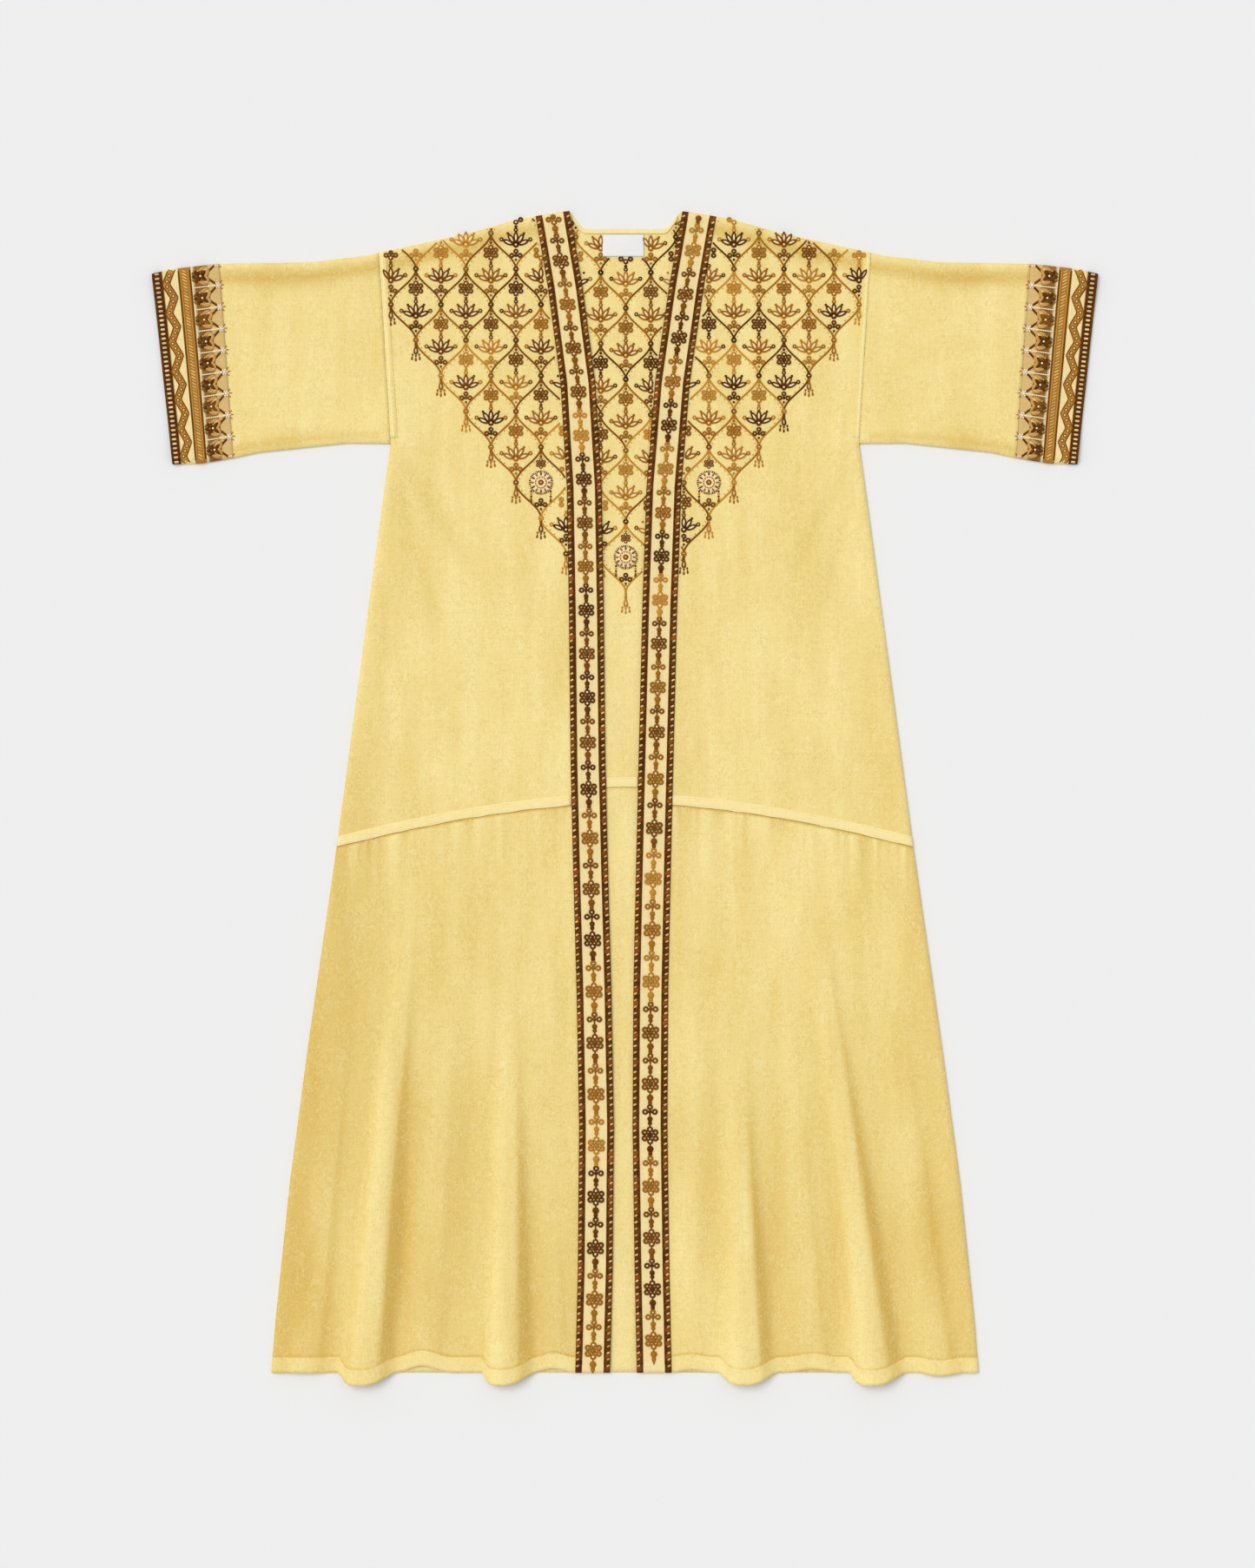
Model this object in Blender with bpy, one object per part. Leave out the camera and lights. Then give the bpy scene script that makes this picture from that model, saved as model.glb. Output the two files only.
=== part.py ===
"""Open-front abaya laid flat on its back: each cut piece of cloth is its own closed wall.

All sizes are in metres. X runs across the garment, towards the wearer's left. Heights are measured up the
garment from the straight part of its hem, and Y is that height less the height of the garment's middle.
Z is up from the surface that the abaya lies on. The left side is the wearer's left, at +X, and every piece
is worked out at +X and then put on its own side.
"""

from collections import namedtuple

import bpy
import numpy as np

CLOTH = 0.0014
TRIM = 0.0010
SEAM_GAP = 0.0003
LOWEST_HEM = -0.0141
SHOULDER_POINT = 1.371
MIDDLE = (SHOULDER_POINT + LOWEST_HEM) / 2

# The back lies on the surface and the upper layer on the back, but for a soft roll along the garment's edge.
LOWER_Z = CLOTH / 2
UPPER_Z = CLOTH + SEAM_GAP + CLOTH / 2
ROLL_WIDTH = 0.006
ROLL_RISE = 0.0028
SETTLE_WIDTH = 0.045
EDGE_STEPS = (0.045, 0.020, 0.009, 0.0035, 0.0)

BODY_HALF = 0.417
HIP_HALF = 0.340
UNDERARM_X = 0.276
UNDERARM = 1.096
ARMHOLE_TOP_X = 0.290
CUFF_SEAM_BOTTOM_X = 0.4615
CUFF_SEAM_TOP_X = 0.478
CUFF_END_BOTTOM_X = 0.5335
CUFF_END_TOP_X = 0.558

HIP_FRONT = 0.672
HIP_BACK = 0.691
HIP_SIDE = 0.620
HIP_BEND = 1.7

HEM_TURNING = 0.018
HEM_STEP = 0.0015
HEM_RISE = 0.0005
HEM_NEAREST = 0.0012
HEM_FARTHEST = 0.016
HIP_TAPE_WIDTH = 0.012
BACK_TAPE_REACH = (-0.0220, 0.0155)

BAND_CLOTH = 0.0012
BAND_WIDTH = 0.041
BAND_COVERS = 0.001
BAND_EDGING = 0.008
BAND_EDGING_RISE = 0.0011
BAND_EDGING_SLOPE = 0.0015

NECK_LOW = 1.349
NECK_FLAT_HALF = 0.046
NECK_HALF = 0.070
NECK_BINDING = 0.0052
NECK_BINDING_HALF = 0.062

LABEL_WIDTH = 0.049
LABEL_DEPTH = 0.026
LABEL_X = -0.002
LABEL_TOP = 1.3428

MEDALLION_RADIUS = 0.014
MEDALLION_RISE = 0.0022
MEDALLION_SIDES = 20

COTTON = (0.86, 0.69, 0.27)
TAPE_COTTON = (0.92, 0.77, 0.36)
BAND_BROWN = (0.42, 0.22, 0.07)
LABEL_WHITE = (0.86, 0.86, 0.86)
MEDALLION_TAN = (0.50, 0.36, 0.22)
CLOTH_ROUGHNESS = 0.85
SIGN = {"left": 1.0, "right": -1.0}

Edge = namedtuple("Edge", "x height")
SIDE_SEAM = (
    Edge(BODY_HALF, 0.000),
    Edge(0.412, 0.062),
    Edge(0.395, 0.226),
    Edge(0.373, 0.390),
    Edge(HIP_HALF, HIP_SIDE),
    Edge(0.305, 0.882),
    Edge(0.283, 1.046),
    Edge(UNDERARM_X, UNDERARM),
)
SLEEVE_BOTTOM = (
    Edge(UNDERARM_X, UNDERARM),
    Edge(0.329, 1.0965),
    Edge(0.432, 1.0855),
    Edge(0.462, 1.079),
    Edge(0.500, 1.0725),
    Edge(CUFF_END_BOTTOM_X, 1.0715),
)
SHOULDER = (
    Edge(0.060, SHOULDER_POINT),
    Edge(0.083, 1.368),
    Edge(0.124, 1.361),
    Edge(0.184, 1.344),
    Edge(0.246, 1.3305),
    Edge(0.306, 1.3175),
    Edge(0.370, 1.310),
    Edge(0.483, 1.308),
    Edge(0.534, 1.302),
    Edge(CUFF_END_TOP_X, 1.2965),
)

# Where the inner edge of each front band lies on its side of the centre line.
BandRow = namedtuple("BandRow", "height inner_left inner_right")
FRONT_BAND = (
    BandRow(0.000, 0.0140, 0.0175),
    BandRow(0.120, 0.0115, 0.0145),
    BandRow(0.290, 0.0090, 0.0130),
    BandRow(0.450, 0.0100, 0.0160),
    BandRow(0.595, 0.0130, 0.0200),
    BandRow(0.717, 0.0160, 0.0230),
    BandRow(0.902, 0.0205, 0.0250),
    BandRow(1.045, 0.0255, 0.0275),
    BandRow(1.168, 0.0355, 0.0350),
    BandRow(1.281, 0.0520, 0.0500),
    BandRow(SHOULDER_POINT, 0.0680, 0.0655),
)

# The flutes of each front skirt, from where they fade out below the hip seam down to the hem. Each flank has
# its own width at the hem and its fullness, which is how square it is in plan. A flute dips by hem_drop.
Flute = namedtuple("Flute", "side hem_x top_x top_height inner outer inner_full outer_full rise hem_drop")
FLUTES = (
    Flute("right", 0.085, 0.090, 0.300, 0.024, 0.022, 2.0, 2.0, 0.0020, -0.0050),
    Flute("right", 0.145, 0.138, 0.480, 0.042, 0.0235, 2.2, 7.0, 0.0140, 0.0135),
    Flute("right", 0.240, 0.205, 0.520, 0.036, 0.030, 2.0, 2.0, 0.0030, -0.0080),
    Flute("right", 0.312, 0.252, 0.600, 0.044, 0.0250, 2.4, 7.0, 0.0150, 0.0135),
    Flute("right", 0.376, 0.318, 0.560, 0.028, 0.026, 2.0, 2.0, 0.0040, 0.0000),
    Flute("left", 0.078, 0.080, 0.300, 0.024, 0.024, 2.0, 2.0, 0.0020, -0.0035),
    Flute("left", 0.141, 0.128, 0.420, 0.031, 0.041, 4.0, 2.4, 0.0140, 0.0132),
    Flute("left", 0.222, 0.180, 0.520, 0.034, 0.030, 2.0, 2.0, 0.0030, -0.0045),
    Flute("left", 0.291, 0.214, 0.600, 0.0255, 0.043, 7.0, 2.4, 0.0150, 0.0135),
    Flute("left", 0.370, 0.300, 0.560, 0.026, 0.030, 2.0, 2.0, 0.0040, 0.0035),
)
FLUTE_CROWN = 3.0
FLUTE_STEPS = (-1.0, -0.75, -0.5, -0.25, 0.0, 0.35, 0.6, 0.8, 0.9, 1.0)
SMALL_FLUTE_STEPS = (-0.6, 0.0, 0.6)
SMALL_FLUTE_RISE = 0.005
FLUTE_TOP_SHARE = 0.45

# The cuff's two raised borders, as shares of its width from the seam with the sleeve.
CuffBorder = namedtuple("CuffBorder", "start end rise")
CUFF_BORDERS = (CuffBorder(0.435, 0.615, 0.0009), CuffBorder(0.862, 0.99, 0.0009))
CUFF_BORDER_SLOPE = 0.03
CUFF_PLAIN_SHARE = 0.22

# A flattened sleeve in section, from its long edge inwards: the fold, and then the upper layer's roll.
FoldPoint = namedtuple("FoldPoint", "inset z")
FOLD = (FoldPoint(0.0030, LOWER_Z), FoldPoint(0.0012, 0.0010), FoldPoint(0.0007, 0.0019))
ROLL_INSETS = (0.0012, 0.0030, 0.0065, 0.020)
FLAT_INSET = 0.045
FLAT_POINTS = 5
SLEEVE_RINGS = 7

Medallion = namedtuple("Medallion", "name on_front x height")
MEDALLIONS = (
    Medallion("medallion_left", True, 0.099, 1.050),
    Medallion("medallion_right", True, -0.099, 1.050),
    Medallion("medallion_back", False, 0.001, 0.962),
)

Step = namedtuple("Step", "radius rise")
MEDALLION_PROFILE = (
    Step(1.00, 0.00),
    Step(1.00, 0.35),
    Step(0.93, 0.50),
    Step(0.62, 0.55),
    Step(0.55, 0.85),
    Step(0.30, 1.00),
)


def ease(t):
    """0 below 0, 1 above 1, and a smooth step between."""
    t = np.clip(t, 0.0, 1.0)
    return t * t * (3.0 - 2.0 * t)


def read_table(rows, column, by, at):
    """One column of a table at a value of another, on straight lines between its rows."""
    keys = [getattr(row, by) for row in rows]
    return np.interp(at, keys, [getattr(row, column) for row in rows])


def side_x(height):
    return read_table(SIDE_SEAM, "x", "height", height)


def shoulder_height(x):
    return read_table(SHOULDER, "height", "x", np.abs(x))


def sleeve_bottom_height(x):
    return read_table(SLEEVE_BOTTOM, "height", "x", np.abs(x))


def armhole_x(height):
    share = (height - UNDERARM) / (shoulder_height(ARMHOLE_TOP_X) - UNDERARM)
    return UNDERARM_X + (ARMHOLE_TOP_X - UNDERARM_X) * share


def outer_x(height):
    """Where the bodice ends sideways: at its side seam, and above the underarm at the armhole."""
    return np.where(height <= UNDERARM, side_x(height), armhole_x(height))


def hip_height(x, centre):
    """The hip seam is a bow: lowest at the sides, and centre high in the middle."""
    return centre - (centre - HIP_SIDE) * (np.abs(x) / HIP_HALF) ** HIP_BEND


def neck_height(x):
    """The back's top edge: the neck curve between the bands, and the shoulder line outside it."""
    rise = ease((np.abs(x) - NECK_FLAT_HALF) / (NECK_HALF - NECK_FLAT_HALF))
    return NECK_LOW + (shoulder_height(x) - NECK_LOW) * rise


def band_inner(side, height):
    return read_table(FRONT_BAND, "inner_" + side, "height", height)


def edge_distance(x, height):
    """How far a point lies from the garment's outline, but for its hem and its sleeve ends."""
    nearest = np.full(np.shape(x), 1.0)
    for line in (SIDE_SEAM, SLEEVE_BOTTOM, SHOULDER):
        for start, end in zip(line, line[1:]):
            run_x, run_h = end.x - start.x, end.height - start.height
            along = ((x - start.x) * run_x + (height - start.height) * run_h) / (run_x**2 + run_h**2)
            along = np.clip(along, 0.0, 1.0)
            away = np.hypot(x - start.x - along * run_x, height - start.height - along * run_h)
            nearest = np.minimum(nearest, away)
    return nearest


def flute_place(flute, x, height):
    """A place across a flute, from -1 at its inner foot to 1 at its outer one, and its growth so far."""
    down = np.clip((flute.top_height - height) / flute.top_height, 0.0, 1.0)
    crest = flute.top_x + (flute.hem_x - flute.top_x) * down
    width = np.where(x < crest, flute.inner, flute.outer) * (FLUTE_TOP_SHARE + (1.0 - FLUTE_TOP_SHARE) * down)
    return np.clip((x - crest) / width, -1.0, 1.0), ease(down)


def flutes_rise(side, x, height):
    total = np.zeros(np.shape(x))
    for flute in FLUTES:
        if flute.side == side:
            place, growth = flute_place(flute, x, height)
            total = total + flute.rise * growth * (1.0 - np.abs(place) ** FLUTE_CROWN) ** 2
    return total


def hem_height(side, x):
    """The front hem in plan: straight, but lower where a flute comes down and higher beside it."""
    total = np.zeros(np.shape(x))
    for flute in FLUTES:
        if flute.side == side:
            place, _ = flute_place(flute, x, 0.0)
            fullness = np.where(place < 0.0, flute.inner_full, flute.outer_full)
            total = total - flute.hem_drop * (1.0 - np.abs(place) ** fullness) ** 2
    return total


def hem_places(side, start):
    """The skirt's columns where they meet the hem: across each flute, and every 16 mm or so between them."""
    places = []
    for flute in FLUTES:
        if flute.side == side:
            steps = np.array(FLUTE_STEPS if flute.rise > SMALL_FLUTE_RISE else SMALL_FLUTE_STEPS)
            if flute.inner < flute.outer:
                steps = -steps[::-1]
            places += list(flute.hem_x + steps * np.where(steps < 0.0, flute.inner, flute.outer))
    places = [start, *sorted(place for place in places if place > start), BODY_HALF - EDGE_STEPS[1]]
    filled = [start]
    for place in places[1:]:
        gap = place - filled[-1]
        if gap > HEM_NEAREST:
            parts = int(np.ceil(gap / HEM_FARTHEST))
            filled += list(filled[-1] + gap * np.arange(1, parts + 1) / parts)
    return np.array(filled)


def upper_z(side, x, height):
    """The middle of the upper layer's thickness."""
    distance = edge_distance(x, height)
    roll = 1.0 - (1.0 - np.clip(distance / ROLL_WIDTH, 0.0, 1.0)) ** 2
    settle = ease((distance - ROLL_WIDTH) / SETTLE_WIDTH)
    return UPPER_Z + ROLL_RISE * (roll - settle) + flutes_rise(side, x, height)


def points_of(x, height, z):
    parts = np.broadcast_arrays(x, height - MIDDLE, z)
    return np.stack(parts, axis=-1)


def coons(bottom, top, inner, outer, across, up):
    """A sheet between four edges, each a function from shares 0..1 to rows of (x, height)."""
    u, v = np.meshgrid(across, up)
    u, v = u[..., None], v[..., None]
    low, high = bottom(across)[None, :, :], top(across)[None, :, :]
    near, far = inner(up)[:, None, :], outer(up)[:, None, :]
    corners = (1 - v) * ((1 - u) * low[:, :1] + u * low[:, -1:])
    corners = corners + v * ((1 - u) * high[:, :1] + u * high[:, -1:])
    return (1 - v) * low + v * high + (1 - u) * near + u * far - corners


def steps_to_edge(count, insets, length):
    """Shares from 0 to 1: even ones, and then one at each inset from the far edge."""
    fine = [1.0 - inset / length for inset in insets]
    return np.concatenate([np.linspace(0.0, fine[0], count, endpoint=False), fine])


def add_object(name, vertices, faces, colour, side="left"):
    """Link one mesh object, mirrored to its own side."""
    vertices = np.array(vertices) * (SIGN[side], 1.0, 1.0)
    faces = [tuple(face) if side == "left" else tuple(face[::-1]) for face in faces]
    mesh = bpy.data.meshes.new(name)
    mesh.from_pydata(vertices.tolist(), [], faces)
    mesh.update()
    material = bpy.data.materials.new(name)
    material.use_nodes = True
    shader = material.node_tree.nodes["Principled BSDF"]
    shader.inputs["Base Color"].default_value = (*colour, 1.0)
    shader.inputs["Roughness"].default_value = CLOTH_ROUGHNESS
    shader.inputs["Metallic"].default_value = 0.0
    mesh.materials.append(material)
    thing = bpy.data.objects.new(name, mesh)
    bpy.context.scene.collection.objects.link(thing)


def closed_wall(name, side, inside, outside, colour, ring=False):
    """A closed wall between two like grids of points. A ring's columns join round into a tube."""
    rows, columns = outside.shape[:2]
    count = rows * columns
    index = np.arange(count).reshape(rows, columns)
    if ring:
        index = np.concatenate([index, index[:, :1]], axis=1)
    a, b = index[:-1, :-1].ravel(), index[:-1, 1:].ravel()
    c, d = index[1:, 1:].ravel(), index[1:, :-1].ravel()
    faces = [np.stack([a, b, c, d], axis=1), np.stack([d, c, b, a], axis=1) + count]
    rims = [index[0, ::-1], index[-1, :]]
    if not ring:
        rims += [index[:, 0], index[::-1, -1]]
    for rim in rims:
        start, end = rim[:-1], rim[1:]
        faces.append(np.stack([start, end, end + count, start + count], axis=1))
    vertices = np.concatenate([outside.reshape(-1, 3), inside.reshape(-1, 3)])
    add_object(name, vertices, np.concatenate(faces).tolist(), colour, side)


def sheet(name, side, grid, colour=COTTON, thickness=CLOTH, raised=0.0):
    """A sheet's wall about its middle points, with its top raised where asked."""
    top = np.zeros(grid.shape)
    top[..., 2] = thickness / 2 + raised
    bottom = np.zeros(grid.shape)
    bottom[..., 2] = -thickness / 2
    closed_wall(name, side, grid + bottom, grid + top, colour)


def lay_on(name, side, grid, colour, thickness, raised=0.0):
    """A strip on the upper layer: points of the layer, moved out by both walls' halves and the gap."""
    moved = grid + (0.0, 0.0, CLOTH / 2 + SEAM_GAP + thickness / 2)
    sheet(name, side, moved, colour, thickness, raised)


def upper_grid(side, flat):
    x, height = flat[..., 0], flat[..., 1]
    return points_of(x, height, upper_z(side, x, height))


def front_edge(side, low, high):
    """The line of a front's inner edge, which the band covers, between two heights."""

    def line(t):
        height = low + (high - low) * t
        return np.stack([band_inner(side, height) + BAND_COVERS, height], axis=1)

    return line


def side_edge(reach, low, high):
    def line(t):
        height = low + (high - low) * t
        return np.stack([reach(height), height], axis=1)

    return line


def across_edge(start, end, height_at):
    def line(t):
        x = start + (end - start) * t
        return np.stack([x, height_at(x)], axis=1)

    return line


def front_bodice(side):
    """From the front edge to the side seam and armhole, and from the hip seam up to the shoulder."""
    low_x = band_inner(side, HIP_FRONT) + BAND_COVERS
    high_x = band_inner(side, SHOULDER_POINT) + BAND_COVERS
    bottom = across_edge(low_x, HIP_HALF, lambda x: hip_height(x, HIP_FRONT) + SEAM_GAP / 2)
    top = across_edge(high_x, ARMHOLE_TOP_X, shoulder_height)
    low, high = bottom(np.array([0.0, 1.0])), top(np.array([0.0, 1.0]))
    inner = front_edge(side, low[0, 1], high[0, 1])
    outer = side_edge(outer_x, low[1, 1], high[1, 1])

    length = high[1, 1] - low[1, 1]
    underarm = (UNDERARM - low[1, 1]) / length
    sides = np.linspace(HIP_TAPE_WIDTH / length, underarm, 7, endpoint=False)
    armhole = underarm + (1.0 - underarm) * steps_to_edge(4, EDGE_STEPS, length * (1.0 - underarm))
    up = np.concatenate([[0.0], sides, armhole])
    under_band = (BAND_WIDTH + SEAM_GAP - BAND_COVERS) / (HIP_HALF - low_x)
    wide = under_band + (1.0 - under_band) * steps_to_edge(7, EDGE_STEPS, 0.245)
    grid = upper_grid(side, coons(bottom, top, inner, outer, np.concatenate([[0.0], wide]), up))
    sheet("front_bodice_" + side, side, grid)
    lay_on("hip_tape_" + side, side, grid[:2, 1:], TAPE_COTTON, TRIM)
    above_underarm = 1 + len(sides) + 1
    lay_on("armhole_tape_" + side, side, grid[above_underarm:, -3:], TAPE_COTTON, TRIM)


def front_skirt(side):
    """From the front edge to the side seam, and from the hem, which dips at the flutes, to the hip seam."""
    low_x = band_inner(side, 0.0) + BAND_COVERS
    high_x = band_inner(side, HIP_FRONT) + BAND_COVERS
    bottom = across_edge(low_x, BODY_HALF, lambda x: hem_height(side, x))
    top = across_edge(high_x, HIP_HALF, lambda x: hip_height(x, HIP_FRONT) - SEAM_GAP / 2)
    low, high = bottom(np.array([0.0, 1.0])), top(np.array([0.0, 1.0]))
    inner = front_edge(side, low[0, 1], high[0, 1])
    outer = side_edge(side_x, low[1, 1], high[1, 1])

    turned = HEM_TURNING / HIP_SIDE
    step = HEM_STEP / HIP_SIDE
    up = np.concatenate([[0.0, turned - step, turned], np.linspace(0.09, 1.0, 8)])
    wide = BODY_HALF - low_x
    under_band = (BAND_WIDTH + SEAM_GAP - BAND_COVERS) / wide
    clear = under_band + HEM_STEP / wide
    places = hem_places(side, low_x + clear * wide)
    edge = BODY_HALF - np.array(EDGE_STEPS[2:])
    across = np.concatenate([[0.0, under_band], (np.concatenate([places, edge]) - low_x) / wide])
    grid = upper_grid(side, coons(bottom, top, inner, outer, across, up))
    hem = HEM_RISE * np.outer(up < turned - step / 2, across > under_band + step / 2)
    sheet("front_skirt_" + side, side, grid, raised=hem)


def front_band(side):
    """The straight band along the front edge, from the hem over the shoulder line, with raised edgings."""
    armhole_length = shoulder_height(ARMHOLE_TOP_X) - UNDERARM
    stretch = (SHOULDER_POINT - HIP_FRONT) / (shoulder_height(ARMHOLE_TOP_X) - HIP_SIDE)
    roll_insets = [inset * stretch for inset in EDGE_STEPS]
    armhole_rows = np.linspace(SHOULDER_POINT - armhole_length * stretch, SHOULDER_POINT - roll_insets[0], 4)
    below = np.linspace(0.0, armhole_rows[0], 18, endpoint=False)
    rows = np.concatenate([below, armhole_rows, SHOULDER_POINT - np.array(roll_insets[1:])])

    edging, slope = BAND_EDGING, BAND_EDGING_SLOPE
    across = [0.0, slope, edging - slope, edging]
    across = np.array(across + [BAND_WIDTH - place for place in across[::-1]])
    raised = BAND_EDGING_RISE * np.array([0.0, 1.0, 1.0, 0.0, 0.0, 1.0, 1.0, 0.0])
    top_x = band_inner(side, SHOULDER_POINT) + across
    height = rows[:, None] * shoulder_height(top_x)[None, :] / SHOULDER_POINT
    x = band_inner(side, height) + across[None, :]
    grid = upper_grid(side, np.stack([x, height], axis=2))
    lay_on("front_band_" + side, side, grid, BAND_BROWN, BAND_CLOTH, raised[None, :])


def back_panel(name, bottom, top, half_low, half_high, reach, across, up):
    """A flat sheet on the surface below the garment, the same on both sides of the centre line."""
    low_line = across_edge(-half_low, half_low, bottom)
    high_line = across_edge(-half_high, half_high, top)
    low, high = float(bottom(half_low)), float(top(half_high))
    left = side_edge(lambda height: -reach(height), low, high)
    flat = coons(low_line, high_line, left, side_edge(reach, low, high), across, up)
    sheet(name, "left", points_of(flat[..., 0], flat[..., 1], LOWER_Z))


def back_bodice():
    """From the hip seam to the neck and shoulders, with fine columns where the neck curve rises."""
    length = shoulder_height(ARMHOLE_TOP_X) - HIP_SIDE
    underarm = (UNDERARM - HIP_SIDE) / length
    up = np.concatenate([np.linspace(0.0, underarm, 6, endpoint=False), np.linspace(underarm, 1.0, 4)])
    neck = np.linspace(NECK_FLAT_HALF, NECK_HALF, 6) / ARMHOLE_TOP_X
    half = np.concatenate([[0.0, neck[0] / 2], neck, np.linspace(neck[-1], 1.0, 7)[1:]])
    across = 0.5 + 0.5 * np.concatenate([-half[:0:-1], half])
    back_panel(
        "back_bodice",
        lambda x: hip_height(x, HIP_BACK) + SEAM_GAP / 2,
        neck_height,
        HIP_HALF,
        ARMHOLE_TOP_X,
        outer_x,
        across,
        up,
    )


def back_skirt():
    across, up = np.linspace(0.0, 1.0, 23), np.linspace(0.0, 1.0, 6)
    back_panel(
        "back_skirt",
        lambda x: 0.0 * x,
        lambda x: hip_height(x, HIP_BACK) - SEAM_GAP / 2,
        BODY_HALF,
        HIP_HALF,
        side_x,
        across,
        up,
    )


def section_round(side, bottom, top):
    """The middle line of a flattened sleeve's wall, once round, from its lower layer to its upper one."""
    bottom, top = np.array(bottom), np.array(top)
    length = np.linalg.norm(top - bottom)
    flat = np.linspace(FLAT_INSET, length - FLAT_INSET, FLAT_POINTS)
    fold_in = np.array([point.inset for point in FOLD])
    fold_z = np.array([point.z for point in FOLD])
    roll = np.array(ROLL_INSETS)
    places = np.concatenate([flat, length - fold_in, length - roll, flat[::-1], roll[::-1], fold_in[::-1]])
    plan = bottom + (top - bottom) * (places / length)[:, None]
    first = FLAT_POINTS + len(FOLD)
    z = upper_z(side, plan[:, 0], plan[:, 1])
    z[:FLAT_POINTS] = LOWER_Z
    z[FLAT_POINTS:first] = fold_z
    z[-len(FOLD):] = fold_z[::-1]
    on_top = np.zeros(len(places))
    on_top[first:-len(FOLD)] = 1.0
    return points_of(plan[:, 0], plan[:, 1], z), on_top


def flat_tube(name, side, bottom_x, top_x, shares, raised_at, colour):
    """A flattened tube of cloth along the sleeve, with its upper layer raised by raised_at each share."""
    rings, rises = [], []
    for share in shares:
        low_x = bottom_x[0] + (bottom_x[1] - bottom_x[0]) * share
        high_x = top_x[0] + (top_x[1] - top_x[0]) * share
        low = (low_x, float(sleeve_bottom_height(low_x)))
        ring, on_top = section_round(side, low, (high_x, float(shoulder_height(high_x))))
        rings.append(ring)
        rises.append(on_top * raised_at(share))
    grid, rise = np.stack(rings), np.stack(rises)[..., None]
    along = np.roll(grid, -1, axis=1) - np.roll(grid, 1, axis=1)
    outward = np.stack([np.zeros(rise.shape[:2]), along[..., 2], -along[..., 1]], axis=2)
    outward /= np.linalg.norm(outward, axis=2, keepdims=True)
    inside, outside = grid - outward * CLOTH / 2, grid + outward * (CLOTH / 2 + rise)
    closed_wall(name, side, inside, outside, colour, ring=True)


def sleeve(side):
    bottom_x = (UNDERARM_X + SEAM_GAP, CUFF_SEAM_BOTTOM_X - SEAM_GAP / 2)
    top_x = (ARMHOLE_TOP_X + SEAM_GAP, CUFF_SEAM_TOP_X - SEAM_GAP / 2)
    shares = np.linspace(0.0, 1.0, SLEEVE_RINGS)
    flat_tube("sleeve_" + side, side, bottom_x, top_x, shares, lambda share: 0.0, COTTON)


def cuff_border_rise(share):
    """The height of the raised borders at a share of the cuff's width."""
    total = 0.0
    for border in CUFF_BORDERS:
        into, out_of = share - border.start, border.end - share
        total += border.rise * float(ease(into / CUFF_BORDER_SLOPE) * ease(out_of / CUFF_BORDER_SLOPE))
    return total


def cuff(side):
    shares = {0.0, CUFF_PLAIN_SHARE, 1.0}
    for border in CUFF_BORDERS:
        shares |= {border.start, border.start + CUFF_BORDER_SLOPE, border.end - CUFF_BORDER_SLOPE, border.end}
    bottom_x = (CUFF_SEAM_BOTTOM_X + SEAM_GAP / 2, CUFF_END_BOTTOM_X)
    top_x = (CUFF_SEAM_TOP_X + SEAM_GAP / 2, CUFF_END_TOP_X)
    flat_tube("cuff_" + side, side, bottom_x, top_x, sorted(shares), cuff_border_rise, BAND_BROWN)


def lay_on_back(name, x, height, colour):
    """A strip on the inner face of the back, where it shows between the fronts."""
    grid = points_of(x, height, CLOTH + SEAM_GAP + TRIM / 2)
    sheet(name, "left", grid, colour, TRIM)


def hip_tape_back():
    x = np.linspace(*BACK_TAPE_REACH, 4)[None, :]
    rise = np.array([0.0, HIP_TAPE_WIDTH])[:, None]
    lay_on_back("hip_tape_back", x, hip_height(x, HIP_BACK) + rise, TAPE_COTTON)


def neck_binding():
    """The narrow binding round the back neck, inside the neck edge."""
    half = np.concatenate([[0.0, NECK_FLAT_HALF / 2], np.linspace(NECK_FLAT_HALF, NECK_BINDING_HALF, 5)])
    x = np.concatenate([-half[:0:-1], half])[None, :]
    drop = np.linspace(NECK_BINDING, 0.0, 3)[:, None]
    lay_on_back("neck_binding", x, neck_height(x) - 2 * SEAM_GAP - drop, TAPE_COTTON)


def neck_label():
    x = LABEL_X + LABEL_WIDTH * np.linspace(-0.5, 0.5, 5)[None, :]
    height = LABEL_TOP - LABEL_DEPTH * np.linspace(1.0, 0.0, 3)[:, None]
    lay_on_back("neck_label", x, height, LABEL_WHITE)


def medallion(row):
    """A round applique in steps, standing on the cloth under it."""
    base = (UPPER_Z + CLOTH / 2 if row.on_front else CLOTH) + SEAM_GAP
    turn = np.linspace(0.0, 2.0 * np.pi, MEDALLION_SIDES, endpoint=False)
    rings = []
    for step in MEDALLION_PROFILE:
        radius = step.radius * MEDALLION_RADIUS
        x, height = row.x + radius * np.cos(turn), row.height + radius * np.sin(turn)
        rings.append(points_of(x, height, base + step.rise * MEDALLION_RISE))
    ends = points_of(row.x, row.height, np.array([base + MEDALLION_RISE, base]))
    vertices = np.concatenate([*rings, ends])

    here = np.arange(MEDALLION_SIDES)
    after = (here + 1) % MEDALLION_SIDES
    faces = []
    for level in range(len(rings) - 1):
        low, high = level * MEDALLION_SIDES, (level + 1) * MEDALLION_SIDES
        faces += np.stack([here + low, after + low, after + high, here + high], axis=1).tolist()
    last, top = (len(rings) - 1) * MEDALLION_SIDES, len(vertices) - 2
    faces += [(a + last, b + last, top) for a, b in zip(here, after)]
    faces += [(b, a, top + 1) for a, b in zip(here, after)]
    add_object(row.name, vertices, faces, MEDALLION_TAN)


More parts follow.
